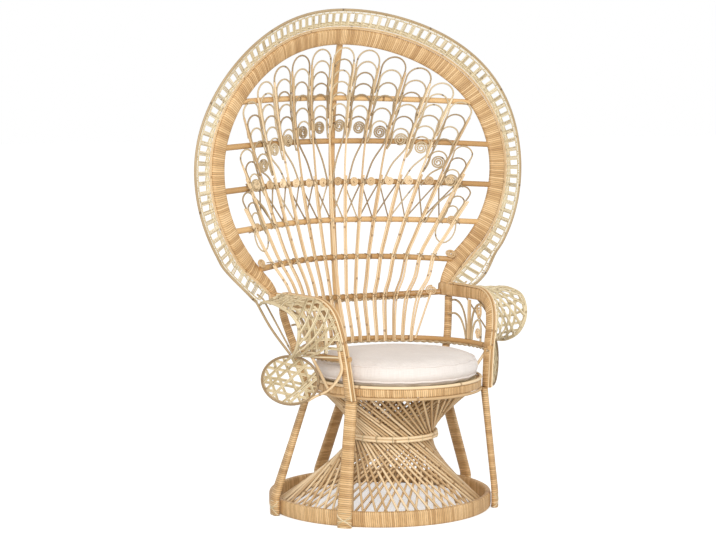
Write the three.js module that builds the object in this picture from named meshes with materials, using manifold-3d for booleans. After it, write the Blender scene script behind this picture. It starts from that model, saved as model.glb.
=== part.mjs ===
import * as THREE from "three";
import { mergeVertices } from "three/addons/utils/BufferGeometryUtils.js";
import Module from "manifold-3d";

const wasm = await Module();
wasm.setup();

// Peacock chair of bent rattan: a tall fan back, woven arm wings, a round seat and an hourglass base.
// Millimetres, +Z up, the sitter faces -Y and +X is the sitter's left.

// Clearance between pieces that touch, and how far a cutting or joined piece runs past a face
const GAP = 0.3;
const OVERRUN = 2;

// Steps and sides that round pieces are drawn with
const RING_SEGMENTS = 36;
const POLE_SIDES = 6;
const THIN_SIDES = 4;
const FAN_BAND_STEPS = 44;
const ARM_STEPS = 20;
const SEAT_RAIL_STEPS = 7;
const SCALLOP_STEPS = 5;
const SIDE_HOOP_STEPS = 24;
const LEG_SIDES = 10;
const SEAT_POLE_SIDES = 8;
const SEARCH_STEPS = 40;

// Base hoop, the wrapped ring on the floor
const BASE_RADIUS = 334;
const BASE_WALL = 18;
const BASE_HEIGHT = 45;
const BASE_EDGE = 4;

// Seat ring, its deck and its two poles
const SEAT_HEIGHT = 399;
const SEAT_FORWARD = 91;
const SEAT_RADIUS = 251;
const SEAT_WALL = 14;
const SEAT_BAND = 23;
const SEAT_TRIM_RADIUS = 4.5;
const DECK_THICKNESS = 10;
const DECK_DROP = 1;
const SEAT_POLE_RADIUS = 7;
const SEAT_POLE_SPREAD = 80;

// Cushion, a little smaller than the seat ring
const CUSHION_INSET = 5;
const CUSHION_RADIUS = SEAT_RADIUS - CUSHION_INSET;
const CUSHION_EDGE_DROP = 6;
const CUSHION_UNDERSIDE = 11;
const CUSHION_WALL = 46;
const CUSHION_CROWN = 15;

// The cushion's underside and crown: how far out and how far up each point of its outline lies
const CUSHION_FOOT_SHARES = [[0, 0], [0.88, 0], [0.96, 0.35], [1, 1]];
const CUSHION_CROWN_SHARES = [[1, 0], [0.94, 0.45], [0.75, 0.85], [0, 1]];

// Legs, oblong wrapped poles outside the hoops
const LEG_WIDTH = 42;
const LEG_DEPTH = 24;
const LEG_KNEE_RISE = 7;
const LEG_TOP_OFFSET = 9;
const LEG_TOP_WIDTH = 34;
const FRONT_FOOT_ANGLE = 50;
const FRONT_TOP_ANGLE = 63;
const SIDE_FOOT_ANGLE = 96;
const SIDE_TOP_ANGLE = 115;
const REAR_ANGLE = 180;

// Hourglass of crossing canes between the base hoop and the seat
const WAIST_HEIGHT = 227;
const WAIST_FORWARD = 68;
const WAIST_RADIUS = 136;
const WAIST_CANE_RADIUS = 4.5;
const HOURGLASS_CANES = 28;
const HOURGLASS_CANE = 7;
const HOURGLASS_LAYER_STEP = 16.5;
const HOURGLASS_FOOT = 8;
const HOURGLASS_RING = 5;
const HOURGLASS_RING_HEIGHT = 10;
const LOWER_TWIST = 66;
const UPPER_TWIST = 55;

// Seat rail, over the seat and outside it
const SEAT_RAIL_RISE = 81;
const SEAT_RAIL_HEIGHT = SEAT_HEIGHT + SEAT_RAIL_RISE;
const SEAT_RAIL_OUTSET = 27;
const SEAT_RAIL_REACH = SEAT_RADIUS + SEAT_RAIL_OUTSET;
const SEAT_RAIL_RADIUS = 8;

// The arm's top, over the seat rail; the fan's heights below are counted from it
const ARM_RISE = 168;
const ARM_TOP = SEAT_RAIL_HEIGHT + ARM_RISE;

// Spine profile: how far the back stands behind the base centre at each height
const SPINE_FULL_RISE = 392;
const SPINE_FULL_HEIGHT = ARM_TOP + SPINE_FULL_RISE;
const SPINE_FULL_BACK = 249;
const SPINE_TOP_LEAN = 85;
const SPINE_FOOT_LEAN = 46;

// How the fan wraps forward to the sides, shallow above the arms and deeper beside them
const DISH_HALF_WIDTH = 633;
const DISH_UPPER = 91;
const DISH_ARM = 149;
const DISH_BLEND_RISE = 102;
const DISH_BLEND_TOP = ARM_TOP + DISH_BLEND_RISE;
const DISH_BLEND_DROP = 8;
const DISH_BLEND_FOOT = ARM_TOP - DISH_BLEND_DROP;

// Fan arch: a wrapped band on an egg-shaped outline, with edge canes, a woven border and a rim outside it
const FAN_CENTRE_RISE = 356;
const FAN_CENTRE_HEIGHT = ARM_TOP + FAN_CENTRE_RISE;
const FAN_HALF_WIDTH = 499;
const FAN_RISE = 402;
const FAN_TAIL = 68;
const FAN_DROP = FAN_CENTRE_RISE + FAN_TAIL;
const FAN_BAND = 46;
const FAN_BAND_THICKNESS = 22;
const FAN_BAND_END_RISE = 42;
const NECK_BEND_SHARE = 0.55;
const EDGE_CANE_RADIUS = 4;
const EDGE_SPACE = 0.6;
const BORDER_WIDTH = 42;
const BORDER_THICKNESS = 5;
const RIM_RADIUS = 5;
const BORDER_END_RISE = 26;
const BORDER_CELLS = 43;
const BORDER_HOLE_SHARE = 0.6;

// Back rails: how far each is over the arm's top at its middle, and how far its ends hang or rise
const RAIL_RADIUS = 9;
const FIRST_RAIL_RISE = 573;
const SECOND_RAIL_RISE = 441;
const THIRD_RAIL_RISE = 315;
const FOURTH_RAIL_RISE = 198;
const FIFTH_RAIL_RISE = 83;
const RAIL_END_DROP = 14;
const LOW_RAIL_DROP = 41;
const LOW_RAIL_HEIGHT = ARM_TOP - LOW_RAIL_DROP;
const LOW_RAIL_END_RISE = 13;

// Spine, the pole behind the rails, and the room between it and them
const SPINE_RADIUS = 10;
const SPINE_SPACE = 2;

// Fan canes: their pitch at three rails and how fast each one leans outward above them
const FAN_CANE_RADIUS = 4;
const FAN_CANES = 8;
const CANE_PITCH_SEAT = 27;
const CANE_PITCH_LOW = 31;
const CANE_PITCH_FIFTH = 40;
const CANE_LEAN_SHARE = 0.075;
const CANE_LEAN_GROWTH_SHARE = 0.001;
const CANE_FOOT_DROP = 10;

// Scallops, the arched canes between two neighbouring fan canes; those of the outer bays hang below a rail
const SCALLOP_RADIUS = 2.5;
const SCALLOP_EDGE_SPACE = 8;
const SCALLOP_HEIGHT = 62;
const SCALLOP_RAIL_DROP = 16;
const ARCH_BAYS = 5;

// Arm bow: a flat wrapped band from the neck of the fan forward and down to the front leg
const ARM_BAND = 40;
const ARM_FOOT_BAND = 30;
const ARM_THICKNESS = 18;
const ARM_OUTSET = 46;
const ARM_REACH = SEAT_RADIUS + ARM_OUTSET;
const ARM_FRONT = 203;
const ARM_NECK_BACK = 108;
const ARM_TAPER_IN = 43;
const ARM_FOOT_OUTSET = 18;
const ARM_FOOT_REACH = SEAT_RADIUS + ARM_FOOT_OUTSET;
const ARM_EDGE_BACK = 60;
const ARM_EDGE_WIDTH = 18;
const ARM_EDGE_THICKNESS = 6;

// Rear post of the arm, on the side leg
const ARM_POST_RADIUS = 12;
const ARM_POST_BACK = 64;

// The bow's line: how far in, forward and down each point lies between the neck and the seat rail
const ARM_LINE_SHARES = [
  [0, 0, 0], [0, 0.28, 0], [0.12, 0.57, 0], [0.3, 0.79, 0.03], [0.49, 0.92, 0.2], [0.72, 0.98, 0.54], [1, 1, 1],
];

// Arches inside the arm, set between the seat rail and the bow
const SCROLL_RADIUS = 3;
const SCROLL_POST_RADIUS = 5;
const SCROLL_FRONT = 150;
const SCROLL_BACK = 26;
const SCROLL_FRONT_ANGLE = 80;
const SCROLL_REAR_ANGLE = 108;
const ARCH_FOOT_SHARE = 0.04;
const SCROLL_POST_SHARE = 0.5;

// Each arch in the arm: half its length and its rise, as shares of the panel
const ARM_ARCH_SHARES = [[0.23, 0.88], [0.13, 0.6]];

// Wing: a woven flap that flares out from the arm bow to its own rim
const WING_DROP = 9;
const WING_TOP = ARM_TOP - WING_DROP;
const WING_FLARE = 123;
const WING_REACH = ARM_REACH + WING_FLARE;
const WING_FRONT = 195;
const WING_RIM_RADIUS = 5;
const WING_THICKNESS = 5;
const WING_COLUMNS = 8;
const WING_ROWS = 2;
const WING_HOLE_SHARE = 0.55;
const WING_FOOT_RISE = 16;
const WING_START_SHARE = 0.06;
const WING_END_SHARE = 0.96;

// The wing rim's line from the fan's rim to the top of the side hoop: out, forward and up
const WING_LINE_SHARES = [
  [1, 0.25, 1], [1, 0.48, 0.99], [0.95, 0.72, 0.93], [0.81, 0.88, 0.84], [0.67, 1, 0.66],
  [0.62, 0.99, 0.41], [0.53, 0.84, 0.15], [0.31, 0.6, 0],
];

// Side hoop: an upright woven hoop under the wing, turned outward, and the canes that hold it
const SIDE_HOOP_SPACE = 82;
const SIDE_HOOP_REACH = SEAT_RAIL_REACH + SIDE_HOOP_SPACE;
const SIDE_HOOP_FORWARD = 84;
const SIDE_HOOP_RISE = 15;
const SIDE_HOOP_HEIGHT = SEAT_HEIGHT + SIDE_HOOP_RISE;
const SIDE_HOOP_HALF_LENGTH = 84;
const SIDE_HOOP_HALF_HEIGHT = 70;
const SIDE_HOOP_TURN = 45;
const SIDE_HOOP_CANE = 5;
const SIDE_HOOP_COLUMNS = 4;
const SIDE_HOOP_ROWS = 3;
const LATTICE_SPACE = 0.9;
const STAY_RADIUS = 4;
const STAY_RISE = 31;
const STAY_HOOP_ANGLE = 233;
const SEAT_STAY_ANGLE = 85;
const SEAT_STAY_START_SHARE = 0.42;
const TIE_SPACE = 0.8;

const RATTAN = { color: "#d6aa73", roughness: 0.55 };
const WRAPPED = { color: "#cf9f62", roughness: 0.5 };
const PALE_CANE = { color: "#dfcfa9", roughness: 0.6 };
const CLOTH = { color: "#e8e0d8", roughness: 0.9 };

const chair = new THREE.Group();
const radians = THREE.MathUtils.degToRad;
const lerp = THREE.MathUtils.lerp;

// Put one closed surface into the chair as a named piece
function addPiece(name, geometry, look) {
  const { color, roughness } = look;
  const material = new THREE.MeshStandardMaterial({ color, roughness, metalness: 0 });
  const mesh = new THREE.Mesh(geometry, material);
  mesh.name = name;
  chair.add(mesh);
}

// Turn points and triangles into a closed surface whose faces look outward
function closedSurface(points, triangles) {
  let volume = 0;
  for (const [a, b, c] of triangles) {
    volume += points[a].dot(new THREE.Vector3().crossVectors(points[b], points[c]));
  }
  const index = triangles.flatMap(([a, b, c]) => (volume < 0 ? [a, c, b] : [a, b, c]));
  const geometry = new THREE.BufferGeometry().setFromPoints(points);
  geometry.setIndex(index);
  return geometry;
}

// Join rows of points, one row per station, with quads; an open sweep gets a cap at each end
function skin(rows, closed = false) {
  const sides = rows[0].length;
  const triangles = [];
  const last = closed ? rows.length : rows.length - 1;
  for (let row = 0; row < last; row += 1) {
    const here = row * sides;
    const next = ((row + 1) % rows.length) * sides;
    for (let side = 0; side < sides; side += 1) {
      const beside = (side + 1) % sides;
      triangles.push([here + side, here + beside, next + side]);
      triangles.push([here + beside, next + beside, next + side]);
    }
  }
  if (!closed) {
    const far = (rows.length - 1) * sides;
    for (let side = 1; side < sides - 1; side += 1) {
      triangles.push([0, side + 1, side]);
      triangles.push([far, far + side, far + side + 1]);
    }
  }
  return closedSurface(rows.flat(), triangles);
}

// Evenly spaced points on the smooth curve through a few hand-placed ones
function smooth(points, steps, closed = false) {
  const spaced = new THREE.CatmullRomCurve3(points, closed, "centripetal").getSpacedPoints(steps);
  return closed ? spaced.slice(0, -1) : spaced;
}

// A round cane with one ring of points at each place on its path
function cane(path, radius, sides = POLE_SIDES, closed = false) {
  const count = path.length;
  let side = new THREE.Vector3(0, 0, 1);
  const rows = path.map((place, step) => {
    const before = path[closed ? (step + count - 1) % count : Math.max(0, step - 1)];
    const after = path[closed ? (step + 1) % count : Math.min(count - 1, step + 1)];
    const run = after.clone().sub(before).normalize();
    if (step === 0 && Math.abs(run.z) > Math.SQRT1_2) side = new THREE.Vector3(1, 0, 0);
    side = side.clone().addScaledVector(run, -side.dot(run)).normalize();
    const over = new THREE.Vector3().crossVectors(run, side);
    return Array.from({ length: sides }, (_, index) => {
      const turn = index * 2 * Math.PI / sides;
      return place.clone()
        .addScaledVector(side, radius * Math.cos(turn))
        .addScaledVector(over, radius * Math.sin(turn));
    });
  });
  return skin(rows, closed);
}

// A flat strip: its centre line, the way its width points and the way its thickness points
function strip(stations) {
  const corners = [[-1, -1], [1, -1], [1, 1], [-1, 1]];
  return skin(stations.map(({ place, across, through, width, thickness }) => (
    corners.map(([w, t]) => place.clone()
      .addScaledVector(across, w * width / 2)
      .addScaledVector(through, t * thickness / 2)))));
}

// A ring turned about the vertical through a centre, from an outline of radius and height
function ring(outline, segments, forward = 0) {
  const profile = outline.map(([radius, height]) => new THREE.Vector2(radius, height));
  const closes = outline[0][0] > 0;
  const geometry = new THREE.LatheGeometry(closes ? [...profile, profile[0]] : profile, segments);
  return geometry.rotateX(Math.PI / 2).translate(0, -forward, 0);
}

// A thin ring of one round cane
function caneRing(radius, height, caneRadius, segments, forward) {
  const outline = Array.from({ length: THIN_SIDES }, (_, side) => {
    const turn = side * 2 * Math.PI / THIN_SIDES;
    return [radius + caneRadius * Math.cos(turn), height + caneRadius * Math.sin(turn)];
  });
  return ring(outline, segments, forward);
}

// A woven panel on a surface: one closed sheet with a hole in every cell
function net(surface, columns, rows, holeShare, thickness, diamond = false) {
  const nudge = 0.01;
  const points = [];
  const triangles = [];
  const add = (u, v, side) => {
    const here = surface(u, v);
    const along = surface(u + nudge, v).sub(surface(u - nudge, v));
    const over = surface(u, v + nudge).sub(surface(u, v - nudge));
    const out = along.cross(over).normalize();
    points.push(here.addScaledVector(out, side * thickness / 2));
    return points.length - 1;
  };
  const both = (u, v) => [add(u, v, 1), add(u, v, -1)];
  const quad = (a, b, c, d) => triangles.push([a, b, c], [a, c, d]);
  const grid = [];
  for (let column = 0; column <= columns; column += 1) {
    grid.push([]);
    for (let row = 0; row <= rows; row += 1) {
      grid[column].push(both(column / columns, row / rows));
    }
  }
  const half = holeShare / 2;
  const square = [[-half, -half], [half, -half], [half, half], [-half, half]];
  const turned = [[0, -half], [half, 0], [0, half], [-half, 0]];
  for (let column = 0; column < columns; column += 1) {
    for (let row = 0; row < rows; row += 1) {
      const near = grid[column];
      const far = grid[column + 1];
      const corners = [near[row], far[row], far[row + 1], near[row + 1]];
      const outline = diamond ? turned : square;
      const hole = outline.map(([u, v]) => both((column + 0.5 + u) / columns, (row + 0.5 + v) / rows));
      for (let side = 0; side < 4; side += 1) {
        const beside = (side + 1) % 4;
        const [a, b, c, d] = [corners[side], corners[beside], hole[beside], hole[side]];
        quad(a[0], b[0], c[0], d[0]);
        quad(b[1], a[1], d[1], c[1]);
        quad(d[0], c[0], c[1], d[1]);
      }
    }
  }
  const wall = (a, b) => quad(b[0], a[0], a[1], b[1]);
  for (let column = 0; column < columns; column += 1) {
    wall(grid[column][0], grid[column + 1][0]);
    wall(grid[column + 1][rows], grid[column][rows]);
  }
  for (let row = 0; row < rows; row += 1) {
    wall(grid[0][row + 1], grid[0][row]);
    wall(grid[columns][row], grid[columns][row + 1]);
  }
  return closedSurface(points, triangles);
}

// Solid form of a closed surface, for joining and cutting
function solid(geometry) {
  const bare = new THREE.BufferGeometry();
  bare.setAttribute("position", geometry.attributes.position);
  bare.setIndex(geometry.index);
  const merged = mergeVertices(bare);
  return new wasm.Manifold(new wasm.Mesh({
    numProp: 3,
    vertProperties: Float32Array.from(merged.attributes.position.array),
    triVerts: Uint32Array.from(merged.index.array),
  }));
}

// Closed surface of a solid
function surfaceOf(shape) {
  const mesh = shape.getMesh();
  const geometry = new THREE.BufferGeometry();
  geometry.setAttribute("position", new THREE.BufferAttribute(mesh.vertProperties, 3));
  geometry.setIndex(new THREE.BufferAttribute(mesh.triVerts, 1));
  return geometry;
}

// One piece from several surfaces that touch
function joined(geometries) {
  return surfaceOf(geometries.map(solid).reduce((sum, next) => sum.add(next)));
}

// A piece with room cut for its neighbours
function cutBy(geometry, cutters) {
  return surfaceOf(cutters.map(solid).reduce((rest, cutter) => rest.subtract(cutter), solid(geometry)));
}

// The same piece on the other side of the chair
function mirrored(geometry) {
  const flipped = geometry.clone().applyMatrix4(new THREE.Matrix4().makeScale(-1, 1, 1));
  const indexed = flipped.index ? flipped : mergeVertices(flipped);
  const order = Array.from(indexed.index.array);
  for (let start = 0; start < order.length; start += 3) {
    [order[start + 1], order[start + 2]] = [order[start + 2], order[start + 1]];
  }
  indexed.setIndex(order);
  return indexed;
}

// Right and left pieces from the geometry of the +X side
function addPair(name, geometry, look) {
  addPiece(`${name}_left`, geometry, look);
  addPiece(`${name}_right`, mirrored(geometry), look);
}

// A point on a circle round the seat or base centre; the angle is measured from the front towards +X
function around(radius, degrees, height, forward) {
  const turn = radians(degrees);
  return new THREE.Vector3(radius * Math.sin(turn), -forward - radius * Math.cos(turn), height);
}

// Base and seat rings
const SEAT_BAND_TOP = SEAT_HEIGHT - SEAT_TRIM_RADIUS - GAP;
const SEAT_BAND_FOOT = SEAT_BAND_TOP - SEAT_BAND;
const SEAT_TRIM_LINE = SEAT_RADIUS - SEAT_TRIM_RADIUS / 2;
const SEAT_INNER = SEAT_RADIUS - SEAT_WALL;
const SEAT_UNDERSIDE = SEAT_BAND_FOOT - GAP - 2 * SEAT_TRIM_RADIUS;
const SEAT_OUTSIDE = SEAT_TRIM_LINE + SEAT_TRIM_RADIUS;
const DECK_TOP = SEAT_HEIGHT - DECK_DROP;

// The clear radius inside a faceted ring, whose facets cut in a little from its corners
function clearInside(radius) {
  return radius * Math.cos(Math.PI / RING_SEGMENTS);
}

function boxRing(outer, inner, foot, top, edge) {
  return [
    [inner, foot], [outer - edge, foot], [outer, foot + edge],
    [outer, top - edge], [outer - edge, top], [inner, top],
  ];
}

function seatBand(grow = 0) {
  const edge = SEAT_WALL / 8;
  const outline = boxRing(SEAT_RADIUS + grow, SEAT_INNER, SEAT_BAND_FOOT - grow, SEAT_BAND_TOP + grow, edge);
  return ring(outline, RING_SEGMENTS, SEAT_FORWARD);
}

function addHoops() {
  const base = boxRing(BASE_RADIUS, BASE_RADIUS - BASE_WALL, 0, BASE_HEIGHT, BASE_EDGE);
  addPiece("base_hoop", ring(base, RING_SEGMENTS), WRAPPED);
  addPiece("seat_hoop", seatBand(), WRAPPED);
  const trims = {
    seat_top_cane: SEAT_BAND_TOP + GAP + SEAT_TRIM_RADIUS,
    seat_bottom_cane: SEAT_BAND_FOOT - GAP - SEAT_TRIM_RADIUS,
  };
  for (const [name, height] of Object.entries(trims)) {
    addPiece(name, caneRing(SEAT_TRIM_LINE, height, SEAT_TRIM_RADIUS, RING_SEGMENTS, SEAT_FORWARD), RATTAN);
  }
}

function addSeat() {
  const deckRadius = SEAT_INNER - GAP;
  const deckFoot = DECK_TOP - DECK_THICKNESS;
  const deck = [[0, deckFoot], [deckRadius, deckFoot], [deckRadius, DECK_TOP], [0, DECK_TOP]];
  addPiece("seat_deck", ring(deck, RING_SEGMENTS, SEAT_FORWARD), PALE_CANE);
  const poleHeight = deckFoot - GAP - SEAT_POLE_RADIUS;
  const poleEdge = SEAT_POLE_SPREAD + SEAT_POLE_RADIUS;
  const poleLength = 2 * (Math.sqrt(clearInside(SEAT_INNER) ** 2 - poleEdge ** 2) - GAP);
  for (const [name, side] of [["seat_pole_front", -1], ["seat_pole_back", 1]]) {
    const pole = new THREE.CylinderGeometry(SEAT_POLE_RADIUS, SEAT_POLE_RADIUS, poleLength, SEAT_POLE_SIDES);
    pole.rotateZ(Math.PI / 2).translate(0, side * SEAT_POLE_SPREAD - SEAT_FORWARD, poleHeight);
    addPiece(name, pole, RATTAN);
  }
}

// Cushion: flat below, drawn in at both seams, with a crowned top
function addCushion() {
  const foot = DECK_TOP + GAP;
  const lowSeam = foot + CUSHION_UNDERSIDE;
  const topSeam = lowSeam + CUSHION_WALL;
  const seamRadius = CUSHION_RADIUS - CUSHION_EDGE_DROP;
  const outline = [
    ...CUSHION_FOOT_SHARES.map(([out, up]) => [seamRadius * out, foot + CUSHION_UNDERSIDE * up]),
    [CUSHION_RADIUS, (lowSeam + topSeam) / 2],
    ...CUSHION_CROWN_SHARES.map(([out, up]) => [seamRadius * out, topSeam + CUSHION_CROWN * up]),
  ];
  addPiece("cushion", ring(outline, RING_SEGMENTS, SEAT_FORWARD), CLOTH);
}

// Legs: upright beside the base hoop, then leaning in to the underside of the seat ring
const FOOT_LINE = BASE_RADIUS + GAP + LEG_DEPTH / 2;
const LEG_TOP_LINE = SEAT_OUTSIDE + LEG_TOP_OFFSET;
const LEG_TOP = SEAT_UNDERSIDE - GAP;

function leg(footAngle, topAngle) {
  const bend = BASE_HEIGHT + LEG_KNEE_RISE;
  const foot = around(FOOT_LINE, footAngle, 0, 0);
  const knee = around(FOOT_LINE, footAngle, bend, 0);
  const top = around(LEG_TOP_LINE, topAngle, LEG_TOP, SEAT_FORWARD);
  const shares = [0, 1 / 3, 2 / 3, 1];
  const path = [foot, ...shares.map((share) => knee.clone().lerp(top, share))];
  const corners = Array.from({ length: LEG_SIDES }, (_, side) => side * 2 * Math.PI / LEG_SIDES);
  const rows = path.map((place, step) => {
    const share = Math.max(0, step - 1) / (path.length - 2);
    const angle = radians(lerp(footAngle, topAngle, share));
    const along = new THREE.Vector3(Math.cos(angle), Math.sin(angle), 0);
    const out = new THREE.Vector3(Math.sin(angle), -Math.cos(angle), 0);
    const width = lerp(LEG_WIDTH, LEG_TOP_WIDTH, share);
    return corners.map((turn) => place.clone()
      .addScaledVector(along, width / 2 * Math.cos(turn))
      .addScaledVector(out, LEG_DEPTH / 2 * Math.sin(turn)));
  });
  return skin(rows);
}

function addLegs() {
  addPair("leg_front", leg(FRONT_FOOT_ANGLE, FRONT_TOP_ANGLE), WRAPPED);
  addPair("leg_side", leg(SIDE_FOOT_ANGLE, SIDE_TOP_ANGLE), WRAPPED);
  addPiece("leg_rear", leg(REAR_ANGLE, REAR_ANGLE), WRAPPED);
}

// Hourglass: in each layer every cane runs straight from the base hoop to the waist, and a second one from
// there to the seat ring. A ring at the waist joins the canes of each half
function hourglassHalf({ line, angle, height, forward }, waistLine, waistHeight, ringSpan) {
  const half = HOURGLASS_CANE / 2;
  const pieces = [];
  for (let index = 0; index < HOURGLASS_CANES; index += 1) {
    const waistAngle = index * 360 / HOURGLASS_CANES;
    const waist = around(waistLine, waistAngle, waistHeight, WAIST_FORWARD);
    const end = around(line, waistAngle + angle, height, forward);
    const rise = Math.abs(end.z - waist.z) / end.distanceTo(waist);
    const section = (place, centre) => {
      const out = new THREE.Vector3(place.x, place.y + centre, 0).normalize();
      const across = new THREE.Vector3(-out.y, out.x, 0);
      return [[-1, -1], [1, -1], [1, 1], [-1, 1]].map(([w, t]) => place.clone()
        .addScaledVector(across, w * half / rise)
        .addScaledVector(out, t * half));
    };
    const rows = [section(waist, WAIST_FORWARD), section(end, forward)];
    pieces.push(skin(end.z > waist.z ? rows : rows.reverse()));
  }
  const [ringInner, ringOuter, ringEnd] = ringSpan;
  const low = Math.min(waistHeight, ringEnd);
  const high = Math.max(waistHeight, ringEnd);
  const band = [[ringInner, low], [ringOuter, low], [ringOuter, high], [ringInner, high]];
  pieces.push(ring(band, HOURGLASS_CANES, WAIST_FORWARD));
  return joined(pieces);
}

function addHourglassLayer(name, inset, twistSign, ringOutside) {
  const half = HOURGLASS_CANE / 2;
  const room = clearInside(WAIST_RADIUS - 2 * WAIST_CANE_RADIUS) - GAP - HOURGLASS_RING - inset;
  const ringInner = ringOutside ? room : room - HOURGLASS_RING;
  const ringOuter = ringInner + HOURGLASS_RING;
  const waistLine = ringOutside ? ringInner - half / 2 : ringOuter + half / 2;
  const foot = {
    line: clearInside(BASE_RADIUS - BASE_WALL) - GAP - HOURGLASS_CANE - inset,
    angle: twistSign * LOWER_TWIST,
    height: HOURGLASS_FOOT,
    forward: 0,
  };
  const top = {
    line: clearInside(SEAT_INNER) - half - inset,
    angle: -twistSign * UPPER_TWIST,
    height: SEAT_BAND_FOOT - GAP,
    forward: SEAT_FORWARD,
  };
  const below = WAIST_HEIGHT - GAP / 2;
  const above = WAIST_HEIGHT + GAP / 2;
  const lowRing = [ringInner, ringOuter, WAIST_HEIGHT - HOURGLASS_RING_HEIGHT / 2];
  const highRing = [ringInner, ringOuter, WAIST_HEIGHT + HOURGLASS_RING_HEIGHT / 2];
  addPiece(`${name}_lower`, hourglassHalf(foot, waistLine, below, lowRing), RATTAN);
  addPiece(`${name}_upper`, hourglassHalf(top, waistLine, above, highRing), RATTAN);
}

function addHourglass() {
  addHourglassLayer("hourglass_outer", 0, 1, true);
  addHourglassLayer("hourglass_inner", HOURGLASS_LAYER_STEP, -1, false);
  const line = WAIST_RADIUS - WAIST_CANE_RADIUS;
  const half = WAIST_CANE_RADIUS;
  const outline = [
    [line - half, WAIST_HEIGHT - half], [line, WAIST_HEIGHT - 2 * half], [line + half, WAIST_HEIGHT - half],
    [line + half, WAIST_HEIGHT + half], [line, WAIST_HEIGHT + 2 * half], [line - half, WAIST_HEIGHT + half],
  ];
  addPiece("waist_hoop", ring(outline, RING_SEGMENTS, WAIST_FORWARD), RATTAN);
}

// The fan's curved sheet: x across, z up, lift towards the sitter
const BORDER_LINE = FAN_BAND / 2 + EDGE_SPACE + 2 * EDGE_CANE_RADIUS + EDGE_SPACE;
const RIM_LINE = BORDER_LINE + BORDER_WIDTH + EDGE_SPACE + RIM_RADIUS;
const RIM_TOP = FAN_CENTRE_HEIGHT + FAN_RISE + RIM_LINE;

function spineBack(height) {
  const above = height > SPINE_FULL_HEIGHT;
  const span = above ? RIM_TOP - SPINE_FULL_HEIGHT : SPINE_FULL_HEIGHT - SEAT_RAIL_HEIGHT;
  const lean = above ? SPINE_TOP_LEAN : SPINE_FOOT_LEAN;
  return SPINE_FULL_BACK - lean * ((height - SPINE_FULL_HEIGHT) / span) ** 2;
}

function sheetPoint(x, z) {
  const blend = 1 - THREE.MathUtils.smoothstep(z, DISH_BLEND_FOOT, DISH_BLEND_TOP);
  const dish = lerp(DISH_UPPER, DISH_ARM, blend) * (1 - Math.cos(Math.PI * x / DISH_HALF_WIDTH));
  return new THREE.Vector3(x, spineBack(z) - dish, z);
}

function sheetNormal(x, z) {
  const side = sheetPoint(x + OVERRUN, z).sub(sheetPoint(x - OVERRUN, z));
  const up = sheetPoint(x, z + OVERRUN).sub(sheetPoint(x, z - OVERRUN));
  return side.cross(up).normalize();
}

function onSheet(x, z, lift = 0) {
  return sheetPoint(x, z).addScaledVector(sheetNormal(x, z), lift);
}

// The fan's outline: turn 0 is the top and a positive turn runs down the +X side
function outlineFlat(turn, outset) {
  const upper = Math.abs(turn) < Math.PI / 2;
  const rise = upper ? FAN_RISE : FAN_DROP;
  const x = FAN_HALF_WIDTH * Math.sin(turn);
  const z = FAN_CENTRE_HEIGHT + rise * Math.cos(turn);
  const normal = new THREE.Vector2(Math.sin(turn) / FAN_HALF_WIDTH, Math.cos(turn) / rise).normalize();
  return new THREE.Vector2(x + normal.x * outset, z + normal.y * outset);
}

function onOutline(turn, outset, lift = 0) {
  const flat = outlineFlat(turn, outset);
  return onSheet(flat.x, flat.y, lift);
}

// The value between two limits at which a test that holds at the low one stops holding
function crossing(low, high, holds) {
  let from = low;
  let to = high;
  for (let step = 0; step < SEARCH_STEPS; step += 1) {
    const middle = (from + to) / 2;
    if (holds(middle)) from = middle;
    else to = middle;
  }
  return from;
}

// The turn at which an outline reaches a height on its way down
function turnAt(height, outset) {
  return crossing(Math.PI / 2, Math.PI, (turn) => outlineFlat(turn, outset).y > height);
}

function turns(last, steps) {
  return Array.from({ length: steps + 1 }, (_, step) => lerp(-last, last, step / steps));
}

// The arch's outline on the sheet: the ellipse, then a short bend into the upright neck above each arm
const NECK_HEIGHT = ARM_TOP - FAN_BAND_THICKNESS / 2;
const NECK_REACH = ARM_REACH + FAN_BAND / 4;

function archOutline() {
  const flats = turns(turnAt(ARM_TOP + FAN_BAND_END_RISE, 0), FAN_BAND_STEPS).map((turn) => {
    const middle = outlineFlat(turn, 0);
    return { middle, out: outlineFlat(turn, FAN_BAND).sub(middle).normalize() };
  });
  const end = flats[flats.length - 1];
  const neck = new THREE.Vector2(NECK_REACH, NECK_HEIGHT);
  const sideways = new THREE.Vector2(1, 0);
  const bend = {
    middle: end.middle.clone().lerp(neck, NECK_BEND_SHARE),
    out: end.out.clone().add(sideways).normalize(),
  };
  const tail = [bend, { middle: neck, out: sideways }];
  const flip = ({ middle, out }) => ({
    middle: new THREE.Vector2(-middle.x, middle.y),
    out: new THREE.Vector2(-out.x, out.y),
  });
  return [...tail.map(flip).reverse(), ...flats, ...tail];
}

// A place beside the arch, at a distance outward from the middle of its band
function besideArch({ middle, out }, outset) {
  return onSheet(middle.x + out.x * outset, middle.y + out.y * outset);
}

function archStations(grow = 0) {
  return archOutline().map((place) => {
    const outer = besideArch(place, FAN_BAND / 2 + grow);
    const inner = besideArch(place, -FAN_BAND / 2 - grow);
    return {
      place: outer.clone().add(inner).multiplyScalar(0.5),
      across: outer.clone().sub(inner).normalize(),
      through: sheetNormal(place.middle.x, place.middle.y),
      width: outer.distanceTo(inner),
      thickness: FAN_BAND_THICKNESS + 2 * grow,
    };
  });
}

// The turns of the border's cells, from one end to the other
function borderTurns() {
  return turns(turnAt(ARM_TOP + BORDER_END_RISE, BORDER_LINE), BORDER_CELLS);
}

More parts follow.
